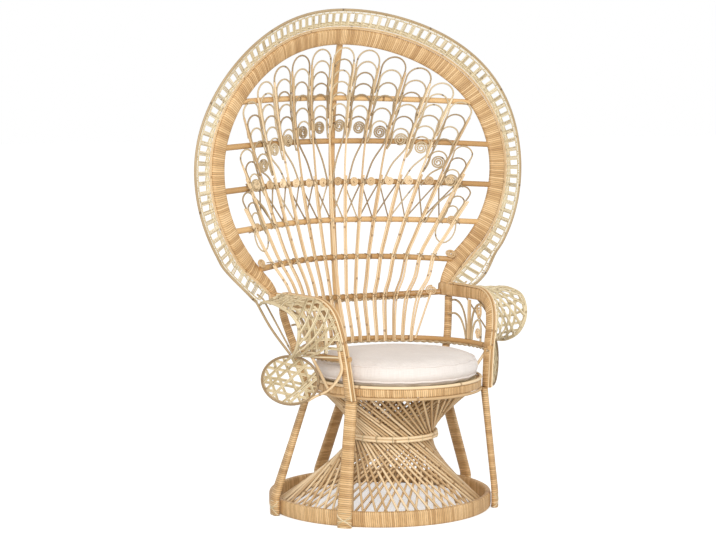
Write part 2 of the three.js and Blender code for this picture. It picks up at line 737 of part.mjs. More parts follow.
// The outer rim ends in a straight strut down to the side hoop
function outerRim(grow = 0) {
  const foot = sideHoopPlace(0, SIDE_HOOP_HALF_HEIGHT);
  const farFoot = new THREE.Vector3(-foot.x, foot.y, foot.z);
  const arc = borderTurns().map((turn) => onOutline(turn, RIM_LINE));
  return cane([farFoot, ...arc, foot], RIM_RADIUS + grow);
}

// Everything below the top of the arms, for cutting the necks level
function belowArms() {
  const depth = 2 * FAN_BAND;
  const box = new THREE.BoxGeometry(4 * ARM_REACH, 4 * ARM_REACH, depth);
  return box.translate(0, 0, ARM_TOP + GAP - depth / 2);
}

function addFan() {
  addPiece("fan_arch", cutBy(strip(archStations()), [belowArms()]), WRAPPED);
  const edgeLine = FAN_BAND / 2 + EDGE_SPACE + EDGE_CANE_RADIUS;
  const edgePath = archOutline().map((place) => besideArch(place, edgeLine));
  const edgeCane = cane(edgePath, EDGE_CANE_RADIUS, THIN_SIDES);
  addPiece("fan_edge_cane", cutBy(edgeCane, [strip(archStations(GAP)), belowArms()]), RATTAN);
  const [first] = borderTurns();
  const border = (u, v) => onOutline(lerp(first, -first, u), BORDER_LINE + v * BORDER_WIDTH);
  addPiece("fan_border", net(border, BORDER_CELLS, 1, BORDER_HOLE_SHARE, BORDER_THICKNESS), PALE_CANE);
  const hoop = sideHoopRing(TIE_SPACE);
  addPiece("fan_outer_rim", cutBy(outerRim(), [hoop, mirrored(hoop)]), RATTAN);
}

// Fan canes: the spine stands in the middle bay, so the first one is half a pitch from it
const CANE_SEAT_REACH = SEAT_RAIL_REACH - SEAT_RAIL_RADIUS - GAP - FAN_CANE_RADIUS;

function caneSeatTurn(index) {
  return (index - 1 / 2) * CANE_PITCH_SEAT / CANE_SEAT_REACH;
}

// How far across a fan cane is at a height
function caneAcross(index, height) {
  const pitches = index - 1 / 2;
  const fifth = ARM_TOP + FIFTH_RAIL_RISE;
  if (height <= LOW_RAIL_HEIGHT) {
    const share = (height - SEAT_RAIL_HEIGHT) / (LOW_RAIL_HEIGHT - SEAT_RAIL_HEIGHT);
    return lerp(CANE_SEAT_REACH * Math.sin(caneSeatTurn(index)), pitches * CANE_PITCH_LOW, share);
  }
  if (height <= fifth) {
    const share = (height - LOW_RAIL_HEIGHT) / (fifth - LOW_RAIL_HEIGHT);
    return pitches * lerp(CANE_PITCH_LOW, CANE_PITCH_FIFTH, share);
  }
  const lean = CANE_LEAN_SHARE * pitches + CANE_LEAN_GROWTH_SHARE * pitches ** 2;
  return pitches * CANE_PITCH_FIFTH + lean * (height - fifth);
}

function caneIndexes() {
  return Array.from({ length: FAN_CANES }, (_, index) => index + 1);
}

// Places across where a rail needs a point: its middle, each fan cane it carries and its ends
function railPlaces(height, reach) {
  const canes = caneIndexes().map((index) => caneAcross(index, height))
    .filter((x) => x < reach - RAIL_RADIUS);
  const side = [...canes, reach];
  return [...side.map((x) => -x).reverse(), 0, ...side];
}

// A rail inside the arch: its height at the middle, how far it reaches and what it rises by at its ends
function archRail(name, rise) {
  const height = ARM_TOP + rise;
  const inset = FAN_BAND / 2 - RAIL_RADIUS;
  const fall = (height < FAN_CENTRE_HEIGHT ? FAN_DROP : FAN_RISE) - inset;
  const drop = (height - RAIL_END_DROP - FAN_CENTRE_HEIGHT) / fall;
  return { name, height, reach: (FAN_HALF_WIDTH - inset) * Math.sqrt(1 - drop ** 2), rise: -RAIL_END_DROP };
}

const RAILS = {
  first: archRail("back_rail_1", FIRST_RAIL_RISE),
  second: archRail("back_rail_2", SECOND_RAIL_RISE),
  third: archRail("back_rail_3", THIRD_RAIL_RISE),
  fourth: archRail("back_rail_4", FOURTH_RAIL_RISE),
  fifth: archRail("back_rail_5", FIFTH_RAIL_RISE),
  low: { name: "back_rail_6", height: LOW_RAIL_HEIGHT, reach: ARM_REACH, rise: LOW_RAIL_END_RISE },
};

// The rails' heights at the middle, from the low one up
function railHeights() {
  return Object.values(RAILS).map((rail) => rail.height).reverse();
}

function railHeight(rail, x) {
  return rail.height + rail.rise * (x / rail.reach) ** 2;
}

// Rails are cut to the inner edge of the arch, and the lowest one to the arms
function addRails() {
  const arm = strip(armStations(GAP));
  const ends = [strip(archStations(GAP)), arm, mirrored(arm)];
  for (const rail of Object.values(RAILS)) {
    const path = railPlaces(rail.height, rail.reach).map((x) => onSheet(x, railHeight(rail, x)));
    addPiece(rail.name, cutBy(cane(path, RAIL_RADIUS), ends), RATTAN);
  }
}

// Seat rail: round the back of the seat from one front arm post to the other
function seatRail(grow = 0) {
  const post = armAt(SEAT_RAIL_HEIGHT);
  const first = THREE.MathUtils.radToDeg(Math.atan2(post.x, -post.y - SEAT_FORWARD));
  const canes = caneIndexes().map((index) => REAR_ANGLE - THREE.MathUtils.radToDeg(caneSeatTurn(index)));
  const last = canes[canes.length - 1];
  const side = Array.from({ length: SEAT_RAIL_STEPS }, (_, step) => (
    lerp(first, last, step / SEAT_RAIL_STEPS)));
  const angles = [...side, ...canes.reverse()];
  const mirror = angles.map((angle) => 2 * REAR_ANGLE - angle).reverse();
  const path = [...angles, REAR_ANGLE, ...mirror].map((angle) => (
    around(SEAT_RAIL_REACH, angle, SEAT_RAIL_HEIGHT, SEAT_FORWARD)));
  return cane(path, SEAT_RAIL_RADIUS + grow);
}

function addSeatRail() {
  const arm = strip(armStations(GAP));
  addPiece("seat_rail", cutBy(seatRail(), [arm, mirrored(arm)]), RATTAN);
}

// A path whose two ends stand upright, so that a pole ends flat
function uprightEnds(path, rise) {
  const up = new THREE.Vector3(0, 0, rise);
  const foot = path[0];
  const top = path[path.length - 1];
  return [foot, foot.clone().add(up), ...path.slice(1, -1), top.clone().sub(up), top];
}

// Spine pole: on the rear leg, behind the seat rail and every back rail
function addSpine() {
  const foot = around(SEAT_OUTSIDE + GAP + SPINE_RADIUS, REAR_ANGLE, LEG_TOP + GAP, SEAT_FORWARD);
  const besideReach = SEAT_RAIL_REACH + SEAT_RAIL_RADIUS + SPINE_SPACE + SPINE_RADIUS;
  const beside = around(besideReach, REAR_ANGLE, SEAT_RAIL_HEIGHT, SEAT_FORWARD);
  const behind = -(FAN_BAND_THICKNESS / 2 + SPINE_SPACE / 2 + SPINE_RADIUS);
  const heights = [...railHeights(), FAN_CENTRE_HEIGHT + FAN_RISE];
  const path = [foot, beside, ...heights.map((height) => onSheet(0, height, behind))];
  const spine = cane(uprightEnds(path, SPINE_RADIUS), SPINE_RADIUS);
  addPiece("spine_pole", cutBy(spine, [strip(archStations(GAP))]), WRAPPED);
}

// Fan canes stand in front of the rails; their scallops pass in front of the arch
const CANE_LIFT = Math.max(RAIL_RADIUS + FAN_CANE_RADIUS, FAN_BAND_THICKNESS / 2 + SCALLOP_RADIUS) + GAP;
const ARCH_INSIDE = FAN_BAND / 2 + SCALLOP_EDGE_SPACE;

// How near a place on the sheet is to the line inside the arch that the scallops press against
function archShare(x, z) {
  const above = z - FAN_CENTRE_HEIGHT;
  const half = (above > 0 ? FAN_RISE : FAN_DROP) - ARCH_INSIDE;
  return Math.hypot(x / (FAN_HALF_WIDTH - ARCH_INSIDE), above / half);
}

function insideArch(x, z) {
  const share = Math.max(1, archShare(x, z));
  return onSheet(x / share, FAN_CENTRE_HEIGHT + (z - FAN_CENTRE_HEIGHT) / share, CANE_LIFT);
}

// The top of a bay's scallop: where its middle meets the arch, or below a rail. Bay 0 is in the middle
function crownHeight(bay) {
  if (bay === ARCH_BAYS + 1) return RAILS.second.height - SCALLOP_RAIL_DROP;
  if (bay > ARCH_BAYS) return RAILS.third.height - SCALLOP_RAIL_DROP;
  const middle = (height) => (bay > 0 ? (caneAcross(bay, height) + caneAcross(bay + 1, height)) / 2 : 0);
  const top = FAN_CENTRE_HEIGHT + FAN_RISE;
  return crossing(FAN_CENTRE_HEIGHT, top, (height) => archShare(middle(height), height) < 1);
}

// A fan cane ends where the higher of the two scallops beside it springs
function fanCane(index) {
  const top = crownHeight(index - 1) - SCALLOP_HEIGHT + FAN_CANE_RADIUS;
  const seat = around(CANE_SEAT_REACH, REAR_ANGLE, SEAT_RAIL_HEIGHT, SEAT_FORWARD)
    .setX(CANE_SEAT_REACH * Math.sin(caneSeatTurn(index)))
    .setY(CANE_SEAT_REACH * Math.cos(caneSeatTurn(index)) - SEAT_FORWARD);
  const foot = seat.clone().setZ(SEAT_RAIL_HEIGHT - CANE_FOOT_DROP);
  const onRail = (rail) => railHeight(rail, caneAcross(index, rail.height));
  const heights = [onRail(RAILS.low), DISH_BLEND_FOOT, onRail(RAILS.fifth), onRail(RAILS.third), top];
  const upper = heights.filter((height) => height <= top)
    .map((height) => onSheet(caneAcross(index, height), height, CANE_LIFT));
  return cane([foot, seat, ...upper], FAN_CANE_RADIUS, THIN_SIDES);
}

// An arched cane over a bay, from one side of it to the other
function scallop(bay, nearSide, farSide) {
  const spring = crownHeight(bay) - SCALLOP_HEIGHT;
  const path = Array.from({ length: SCALLOP_STEPS + 1 }, (_, step) => {
    const turn = step * Math.PI / SCALLOP_STEPS;
    const height = spring + SCALLOP_HEIGHT * Math.sin(turn);
    return insideArch(lerp(nearSide(height), farSide(height), (1 - Math.cos(turn)) / 2), height);
  });
  return cane(path, SCALLOP_RADIUS, THIN_SIDES);
}

// The scallop of the middle bay stands free between the first canes of both sides
function addFanCanes() {
  const bays = caneIndexes().slice(0, -1);
  const scallops = bays.map((bay) => (
    scallop(bay, (height) => caneAcross(bay, height), (height) => caneAcross(bay + 1, height))));
  addPair("fan_canes", joined([...caneIndexes().map(fanCane), ...scallops]), RATTAN);
  const clearOfCane = FAN_CANE_RADIUS + GAP + SCALLOP_RADIUS;
  const inside = (height) => caneAcross(1, height) - clearOfCane;
  addPiece("fan_scallop_middle", scallop(0, (height) => -inside(height), inside), RATTAN);
}

// Arm bow
function armLine() {
  const middle = ARM_TOP - ARM_BAND / 2;
  const foot = around(ARM_FOOT_REACH, FRONT_TOP_ANGLE, LEG_TOP + GAP, SEAT_FORWARD);
  const points = ARM_LINE_SHARES.map(([inward, forward, down]) => new THREE.Vector3(
    ARM_REACH - inward * ARM_TAPER_IN,
    lerp(ARM_NECK_BACK, -ARM_FRONT, forward),
    lerp(middle, SEAT_RAIL_HEIGHT, down),
  ));
  return smooth([...points, foot], ARM_STEPS);
}

// The middle of the bow's post at a height
function armAt(height) {
  const path = armLine();
  const next = path.findIndex((place) => place.z < height);
  const above = path[next - 1];
  return above.clone().lerp(path[next], (above.z - height) / (above.z - path[next].z));
}

function armStations(grow = 0) {
  const path = armLine();
  const last = path.length - 1;
  return path.map((place, step) => {
    const before = path[Math.max(0, step - 1)];
    const run = step === last ? new THREE.Vector3(0, 0, -1) : path[step + 1].clone().sub(before).normalize();
    const through = new THREE.Vector3(1, 0, 0);
    return {
      place,
      through,
      across: new THREE.Vector3().crossVectors(run, through).normalize(),
      width: lerp(ARM_BAND, ARM_FOOT_BAND, step / last) + 2 * grow,
      thickness: ARM_THICKNESS + 2 * grow,
    };
  });
}

// Three thin canes side by side along the top and front of the bow
function armEdgeStations(grow = 0) {
  const space = GAP + ARM_EDGE_THICKNESS / 2;
  return armStations().filter(({ place }) => place.y < ARM_EDGE_BACK).map((station) => ({
    ...station,
    place: station.place.clone().addScaledVector(station.across, station.width / 2 + space),
    width: ARM_EDGE_THICKNESS + 2 * grow,
    thickness: ARM_EDGE_WIDTH + 2 * grow,
  }));
}

function rearArmPost() {
  const postReach = SEAT_OUTSIDE + GAP + ARM_POST_RADIUS;
  const foot = around(postReach, SIDE_TOP_ANGLE, LEG_TOP + GAP, SEAT_FORWARD);
  const besideReach = SEAT_RAIL_REACH + SEAT_RAIL_RADIUS + SPINE_SPACE + ARM_POST_RADIUS;
  const beside = around(besideReach, SIDE_TOP_ANGLE, SEAT_RAIL_HEIGHT, SEAT_FORWARD);
  const top = new THREE.Vector3(ARM_REACH, ARM_POST_BACK, ARM_TOP - ARM_BAND - GAP);
  return cane(uprightEnds([foot, beside, top], ARM_POST_RADIUS), ARM_POST_RADIUS);
}

function addArms() {
  addPair("arm_bow", strip(armStations()), WRAPPED);
  addPair("arm_edge_canes", cutBy(strip(armEdgeStations()), [strip(armStations(GAP))]), RATTAN);
  addPair("rear_arm_post", rearArmPost(), WRAPPED);
}

// Panel inside the arm: along runs from 0 at the front to 1 at the rear, up from the seat rail to the bow
function armPanel(along, up) {
  const angle = lerp(SCROLL_FRONT_ANGLE, SCROLL_REAR_ANGLE, along);
  const foot = around(SEAT_RAIL_REACH, angle, SEAT_RAIL_HEIGHT + SEAT_RAIL_RADIUS + GAP, SEAT_FORWARD);
  const across = lerp(ARM_REACH - ARM_TAPER_IN / 2, ARM_REACH, along);
  const top = new THREE.Vector3(across, lerp(-SCROLL_FRONT, SCROLL_BACK, along), ARM_TOP - ARM_BAND - GAP);
  return foot.lerp(top, up);
}

function armArch(centre, half, rise) {
  const path = Array.from({ length: SCALLOP_STEPS + 1 }, (_, step) => {
    const turn = step * Math.PI / SCALLOP_STEPS;
    return armPanel(centre - half * Math.cos(turn), ARCH_FOOT_SHARE + rise * Math.sin(turn));
  });
  return cane(path, SCROLL_RADIUS, THIN_SIDES);
}

function addArmScrolls() {
  const middle = SCROLL_POST_SHARE;
  const post = cane([0, ARCH_FOOT_SHARE, 1].map((up) => armPanel(middle, up)), SCROLL_POST_RADIUS);
  const arches = [];
  for (const [half, rise] of ARM_ARCH_SHARES) {
    arches.push(armArch(middle - half, half, rise), armArch(middle + half, half, rise));
  }
  addPair("arm_scrolls", joined([post, ...arches]), RATTAN);
}

// Side hoop: a place on it, across from its middle and up
function sideHoopPlace(across, up) {
  const turn = radians(SIDE_HOOP_TURN);
  const x = SIDE_HOOP_REACH + across * Math.cos(turn);
  return new THREE.Vector3(x, across * Math.sin(turn) - SIDE_HOOP_FORWARD, SIDE_HOOP_HEIGHT + up);
}

function sideHoopRing(grow = 0) {
  const path = Array.from({ length: SIDE_HOOP_STEPS }, (_, step) => {
    const turn = step * 2 * Math.PI / SIDE_HOOP_STEPS;
    return sideHoopPlace(SIDE_HOOP_HALF_LENGTH * Math.cos(turn), SIDE_HOOP_HALF_HEIGHT * Math.sin(turn));
  });
  return cane(path, SIDE_HOOP_CANE + grow, POLE_SIDES, true);
}

function addSideHoops() {
  addPair("side_hoop", sideHoopRing(), RATTAN);
  const inset = SIDE_HOOP_CANE + LATTICE_SPACE;
  const disc = (u, v) => {
    const across = (2 * u - 1) * Math.sqrt(1 - (2 * v - 1) ** 2 / 2);
    const up = (2 * v - 1) * Math.sqrt(1 - (2 * u - 1) ** 2 / 2);
    return sideHoopPlace(across * (SIDE_HOOP_HALF_LENGTH - inset), up * (SIDE_HOOP_HALF_HEIGHT - inset));
  };
  const lattice = net(disc, SIDE_HOOP_COLUMNS, SIDE_HOOP_ROWS, WING_HOLE_SHARE, WING_THICKNESS, true);
  addPair("side_hoop_lattice", lattice, PALE_CANE);
}

// Wing rim: from the fan's rim outward, forward and down, then back to the top of the side hoop
function wingRimCurve() {
  const start = onOutline(borderTurns().pop(), RIM_LINE);
  const end = sideHoopPlace(0, SIDE_HOOP_HALF_HEIGHT);
  const points = WING_LINE_SHARES.map(([out, forward, up]) => new THREE.Vector3(
    lerp(end.x, WING_REACH, out),
    -forward * WING_FRONT,
    lerp(end.z, WING_TOP, up),
  ));
  return new THREE.CatmullRomCurve3([start, ...points, end], false, "centripetal");
}

function wingRim(grow = 0) {
  return cane(wingRimCurve().getSpacedPoints(2 * WING_COLUMNS), WING_RIM_RADIUS + grow);
}

// The wing's inner edge: from beside the neck along the outer side of the bow's edge canes
function wingInnerCurve() {
  const neck = new THREE.Vector3(NECK_REACH + FAN_BAND / 2, ARM_EDGE_BACK, ARM_TOP);
  const space = ARM_EDGE_WIDTH / 2 + EDGE_SPACE;
  const beside = armEdgeStations()
    .map(({ place, through }) => place.clone().addScaledVector(through, space))
    .filter((place) => place.z > SIDE_HOOP_HEIGHT + SIDE_HOOP_HALF_HEIGHT + WING_FOOT_RISE);
  return new THREE.CatmullRomCurve3([neck, ...beside], false, "centripetal");
}

function wingSurface(u, v) {
  const along = lerp(WING_START_SHARE, WING_END_SHARE, u);
  const inner = wingInnerCurve().getPointAt(Math.min(1, lerp(WING_START_SHARE / 2, 1, u)));
  const outer = wingRimCurve().getPointAt(along);
  const reach = outer.distanceTo(inner) - WING_RIM_RADIUS - EDGE_SPACE;
  return inner.addScaledVector(outer.sub(inner).normalize(), v * reach);
}

function addWings() {
  const hoop = sideHoopRing(TIE_SPACE);
  const fanRim = outerRim(TIE_SPACE);
  const arm = strip(armStations(GAP));
  const edge = strip(armEdgeStations(GAP));
  addPair("wing_rim", cutBy(wingRim(), [hoop, fanRim]), RATTAN);
  const lattice = net(wingSurface, WING_COLUMNS, WING_ROWS, WING_HOLE_SHARE, WING_THICKNESS);
  addPair("wing_lattice", cutBy(lattice, [arm, edge, wingRim(GAP)]), PALE_CANE);
  const footEnds = [hoop, fanRim, wingRim(TIE_SPACE), arm, edge, seatRail(GAP)];
  addPair("wing_foot_cane", cutBy(wingFoot(), footEnds), RATTAN);
}

// The cane under the wing, from the top of the side hoop to the arm's post
function wingFoot(grow = 0) {
  const start = sideHoopPlace(0, SIDE_HOOP_HALF_HEIGHT);
  return cane([start, armAt(start.z)], STAY_RADIUS + grow);
}

// Two straight canes that hold the side hoop: one from the arm's post, one from the wing's foot to the seat
function addStays() {
  const hoop = sideHoopRing(TIE_SPACE);
  const turn = radians(STAY_HOOP_ANGLE);
  const along = SIDE_HOOP_HALF_LENGTH * Math.cos(turn);
  const onHoop = sideHoopPlace(along, SIDE_HOOP_HALF_HEIGHT * Math.sin(turn));
  const armStay = cane([armAt(SEAT_HEIGHT + STAY_RISE), onHoop], STAY_RADIUS);
  addPair("arm_stay", cutBy(armStay, [hoop, strip(armStations(GAP)), strip(armEdgeStations(GAP))]), RATTAN);
  const top = sideHoopPlace(0, SIDE_HOOP_HALF_HEIGHT);
  const start = top.lerp(armAt(top.z), SEAT_STAY_START_SHARE);
  const end = around(SEAT_RADIUS, SEAT_STAY_ANGLE, (SEAT_BAND_FOOT + SEAT_BAND_TOP) / 2, SEAT_FORWARD);
  const seatStay = cane([start, end], STAY_RADIUS);
  const clearOf = [wingFoot(TIE_SPACE), seatBand(TIE_SPACE), wingRim(TIE_SPACE)];
  addPair("seat_stay", cutBy(seatStay, clearOf), RATTAN);
}

addHoops();
addSeat();
addCushion();
addLegs();
addHourglass();
addFan();
addRails();
addSeatRail();
addSpine();
addFanCanes();
addArms();
addArmScrolls();
addSideHoops();
addWings();
addStays();

// The middle of the chair's foot is the origin
const box = new THREE.Box3().setFromObject(chair);
const middle = box.getCenter(new THREE.Vector3());
for (const piece of chair.children) {
  piece.geometry.translate(-middle.x, -middle.y, -box.min.z);
}

export default chair;
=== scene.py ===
# %% [markdown]
# # A peacock chair of bent rattan
# A tall fan back, two arms with woven wings, a round seat with a loose cushion and an hourglass base.
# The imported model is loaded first. It gives every piece its place, and each piece made here is put over
# the solid that it stands for. Everything is in metres, with +Z up and the sitter facing -Y.

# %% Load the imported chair
import math
import random

import bmesh
import bpy
import numpy as np
from mathutils import Matrix, Vector
from mathutils.bvhtree import BVHTree


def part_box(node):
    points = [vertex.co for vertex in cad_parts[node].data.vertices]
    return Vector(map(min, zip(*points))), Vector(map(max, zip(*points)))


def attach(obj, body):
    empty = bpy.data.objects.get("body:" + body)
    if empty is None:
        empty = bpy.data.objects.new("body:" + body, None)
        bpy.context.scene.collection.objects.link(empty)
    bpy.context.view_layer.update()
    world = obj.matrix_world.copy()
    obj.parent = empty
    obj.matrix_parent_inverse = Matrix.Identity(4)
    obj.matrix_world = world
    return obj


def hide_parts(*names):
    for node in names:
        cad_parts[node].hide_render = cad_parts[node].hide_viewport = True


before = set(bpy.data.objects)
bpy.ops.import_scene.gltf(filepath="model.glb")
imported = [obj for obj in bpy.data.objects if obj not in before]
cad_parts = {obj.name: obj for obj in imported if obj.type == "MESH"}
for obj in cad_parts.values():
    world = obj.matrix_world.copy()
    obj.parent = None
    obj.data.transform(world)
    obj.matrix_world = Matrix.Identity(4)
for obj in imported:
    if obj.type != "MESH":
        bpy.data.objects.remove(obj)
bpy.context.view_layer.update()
scene = bpy.context.scene

# %% [markdown]
# ## Where the chair stands
# The maker measures from the middle of the base hoop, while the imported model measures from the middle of
# the whole footprint. All the shapes below are worked out from the hoop's middle, and each finished piece
# is moved once by the difference, which the base hoop's own box gives.

# %% Measures that several pieces share
MM = 0.001
hoop_low, hoop_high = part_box("base_hoop")
HOOP_MIDDLE = Vector((0, (hoop_low.y + hoop_high.y) / 2, 0))
SEAT_FORWARD = 91 * MM
SEAT_RAIL = 480 * MM
ARM_TOP = 648 * MM
BACK_RAILS = [height * MM for height in (1221, 1089, 963, 846, 731, 607)]
THIRD_RAIL, FOURTH_RAIL, FIFTH_RAIL, LOW_RAIL = BACK_RAILS[2:]
chance = random.Random(11)
print("the hoop's middle is at", tuple(round(value, 4) for value in HOOP_MIDDLE))

# %% [markdown]
# ## Camera
# The photograph was taken from a little to the sitter's right, at about the height of the fan's middle, with
# a long lens. The camera's place and direction were solved from the hoops and the fan, which are round and
# alike on both sides. Its own axes are set as the columns of a matrix, so the small roll is kept too.

# %% Camera
CAMERA_PLACE = (-3.020, -4.630, 1.178)
camera_data = bpy.data.cameras.new("camera")
camera_data.lens = 93.26
camera_data.sensor_width = 36
camera = bpy.data.objects.new("camera", camera_data)
scene.collection.objects.link(camera)
ahead = Vector((0.5351, 0.8405, -0.0849)).normalized()
right = ahead.cross(Vector((0, 0, 1))).normalized()
right = Matrix.Rotation(math.radians(-0.12), 3, -ahead) @ right
up = right.cross(ahead)
camera.matrix_world = Matrix.Translation(CAMERA_PLACE) @ Matrix((right, up, -ahead)).transposed().to_4x4()
scene.camera = camera
scene.view_settings.view_transform = "Standard"
print("camera at", tuple(round(value, 3) for value in camera.location))

# %% [markdown]
# ## A way to write recipes for finishes
# Every finish is drawn by nodes, with no picture files. Nodes could be added one by one, each with its links,
# but then a recipe is hard to follow. A small class gives a short name to each step that the recipes need, so
# they read as a list of sums.

# %% Recipe helper


def linear(red, green, blue):
    """A colour written as on a colour card, 0 to 255, turned into the renderer's own scale."""
    def one(value):
        value /= 255
        return value / 12.92 if value <= 0.04045 else ((value + 0.055) / 1.055) ** 2.4
    return (one(red), one(green), one(blue), 1)


class Recipe:
    """The nodes of one finish, pattern or light."""

    def __init__(self, tree):
        self.tree = tree

    def add(self, kind, **settings):
        node = self.tree.nodes.new("ShaderNode" + kind)
        for name, value in settings.items():
            setattr(node, name, value)
        return node

    def give(self, socket, value):
        """Set a socket to a number or a colour, or join another node's output to it."""
        if isinstance(value, (int, float, tuple)):
            socket.default_value = value
        elif value is not None:
            self.tree.links.new(value, socket)

    def maths(self, operation, first, second=None, clamp=False):
        node = self.add("Math", operation=operation, use_clamp=clamp)
        self.give(node.inputs[0], first)
        self.give(node.inputs[1], second)
        return node.outputs[0]

    def plus(self, first, second):
        return self.maths("ADD", first, second)

    def times(self, first, second):
        return self.maths("MULTIPLY", first, second)

    def span(self, value, low, high, to_low=0.0, to_high=1.0, smooth=False):
        """Stretch a range of values to another one."""
        node = self.add("MapRange", interpolation_type="SMOOTHSTEP" if smooth else "LINEAR")
        for name, number in zip(("From Min", "From Max", "To Min", "To Max"), (low, high, to_low, to_high)):
            node.inputs[name].default_value = number
        self.give(node.inputs["Value"], value)
        return node.outputs["Result"]

    def point(self, x, y, z=0.0):
        node = self.add("CombineXYZ")
        for socket, value in zip(node.inputs, (x, y, z)):
            self.give(socket, value)
        return node.outputs[0]

    def split(self, vector):
        node = self.add("SeparateXYZ")
        self.give(node.inputs[0], vector)
        return node.outputs[0], node.outputs[1]

    def noise(self, vector, scale, detail=2.0):
        node = self.add("TexNoise")
        node.inputs["Scale"].default_value = scale
        node.inputs["Detail"].default_value = detail
        node.inputs["Roughness"].default_value = 0.5
        self.give(node.inputs["Vector"], vector)
        return node.outputs["Fac"]

    def pick(self, number, salt):
        """A random value for each whole number."""
        node = self.add("TexWhiteNoise", noise_dimensions="2D")
        self.give(node.inputs["Vector"], self.point(number, salt))
        return node.outputs["Value"]

    def ramp(self, value, places, shades):
        node = self.add("ValToRGB")
        elements = node.color_ramp.elements
        for _ in places[2:]:
            elements.new(0.5)
        for element, place, shade in zip(elements, places, shades):
            element.position = place
            element.color = linear(*shade)
        self.give(node.inputs["Fac"], value)
        return node.outputs["Color"]

    def mixed(self, share, first, second, blend="MIX"):
        node = self.add("Mix", data_type="RGBA", blend_type=blend)
        for name, value in (("Factor", share), ("A", first), ("B", second)):
            self.give(node.inputs[name], value)
        return node.outputs["Result"]

    def bump(self, height, strength, distance):
        node = self.add("Bump")
        for name, value in (("Strength", strength), ("Distance", distance), ("Height", height)):
            self.give(node.inputs[name], value)
        return node.outputs["Normal"]


def new_group(name, titles):
    """A pattern: a node group that reads a place on the surface and gives grey values."""
    group = bpy.data.node_groups.new(name, "ShaderNodeTree")
    group.interface.new_socket("Surface", in_out="INPUT", socket_type="NodeSocketVector")
    for title in titles:
        group.interface.new_socket(title, in_out="OUTPUT", socket_type="NodeSocketFloat")
    surface = group.nodes.new("NodeGroupInput").outputs["Surface"]
    return Recipe(group), surface, group.nodes.new("NodeGroupOutput").inputs


def new_finish(name):
    """A material with its recipe and the sockets of its shader."""
    material = bpy.data.materials.new(name)
    material.use_nodes = True
    return material, Recipe(material.node_tree), material.node_tree.nodes["Principled BSDF"].inputs


print("a light brown, on the renderer's scale:", [round(value, 3) for value in linear(216, 177, 124)])

# %% [markdown]
# ## Light, floor and background
# The chair stands in a bright white studio. Two large soft lamps and an even white surrounding light it at a
# plain level. Brighter lamps could make the background white, but they would bleach the cane. So only the
# camera, looking straight at the surroundings or through something clear, sees them at full white. The floor
# glows for the camera alone too, and still darkens where the chair shades it.

# %% World and lamps
world = bpy.data.worlds.new("studio")
scene.world = world
world.use_nodes = True
studio = Recipe(world.node_tree)
background = world.node_tree.nodes["Background"].inputs
seen = studio.add("LightPath").outputs
direct = studio.maths("MAXIMUM", seen["Is Camera Ray"], seen["Is Transmission Ray"])
studio.give(background["Strength"], studio.span(direct, 0, 1, 0.7, 1))
studio.give(background["Color"], (1, 1, 1, 1))


def soft_lamp(name, place, aim, size, power):
    """A square lamp that looks at a point."""
    lamp = bpy.data.lights.new(name, "AREA")
    lamp.size = size
    lamp.energy = power
    holder = bpy.data.objects.new(name, lamp)
    scene.collection.objects.link(holder)
    holder.location = place
    holder.rotation_euler = (Vector(aim) - Vector(place)).to_track_quat("-Z", "Y").to_euler()


soft_lamp("key_lamp", (-2.8, -3.8, 2.5), (0, 0, 0.6), 2.0, 150)
soft_lamp("fill_lamp", (3.4, -2.6, 1.8), (0, 0, 0.8), 2.6, 25)

# %% Floor
FLOOR_HALF = 60
floor_material, recipe, paint = new_finish("studio_floor")
recipe.give(paint["Base Color"], (0.8, 0.8, 0.8, 1))
recipe.give(paint["Roughness"], 0.9)
recipe.give(paint["Emission Color"], (1, 1, 1, 1))
glow = recipe.times(recipe.add("LightPath").outputs["Is Camera Ray"], 0.5)
recipe.give(paint["Emission Strength"], glow)
bm = bmesh.new()
bmesh.ops.create_grid(bm, x_segments=2, y_segments=2, size=FLOOR_HALF)
mesh = bpy.data.meshes.new("floor")
bm.to_mesh(mesh)
bm.free()
mesh.materials.append(floor_material)
floor = bpy.data.objects.new("floor", mesh)
scene.collection.objects.link(floor)
print("floor:", len(mesh.polygons), "faces")

# %% [markdown]
# ## Wound cane
# The fan's arch, the arms, the legs and both hoops are poles wound edge to edge with a flat strip of peeled
# cane. A pattern in the mesh would need tens of thousands of turns, so the turns are drawn along the piece's
# own UV map, which runs in metres: u along the pole and v round it. Each turn gets its own tone, a rounded
# back for the bump and a dark line of painted shade in the groove where two turns meet.

# %% Wound cane pattern
WINDING = 6 * MM
wound, surface, result = new_group("wound_cane_pattern", ["Tone", "GapShade", "Height", "Fibre"])
along, girth = wound.split(surface)
sway = wound.times(wound.noise(surface, 34, 1), 2.4 * MM)
shifted = wound.plus(wound.plus(along, wound.times(girth, 0.06)), sway)
windings = wound.maths("DIVIDE", shifted, WINDING)
winding = wound.maths("FLOOR", windings)
share = wound.maths("SUBTRACT", windings, winding)
from_middle = wound.maths("ABSOLUTE", wound.maths("SUBTRACT", wound.times(share, 2.0), 1.0))
own_tone = wound.times(wound.pick(winding, 3.7), 0.5)
wound.give(result["Tone"], wound.plus(own_tone, wound.times(wound.noise(surface, 7, 2), 0.5)))
# The dark line where two turns meet is painted shade in the groove between them; its width wavers from turn
# to turn and round the pole.
uneven = wound.noise(wound.point(winding, wound.times(girth, 30.0)), 1.7)
gap_start = wound.span(uneven, 0.35, 0.7, 0.86, 0.62)
past_gap = wound.maths("SUBTRACT", from_middle, gap_start)
wound.give(result["GapShade"], wound.maths("MULTIPLY", past_gap, 7.0, clamp=True))
wound.give(result["Height"], wound.maths("SUBTRACT", 1.0, wound.maths("POWER", from_middle, 2.6)))
fibre_place = wound.point(wound.times(along, 2600.0), wound.times(girth, 60.0))
wound.give(result["Fibre"], wound.noise(fibre_place, 1.0, 3))
print("wound cane pattern:", len(wound.tree.nodes), "nodes")

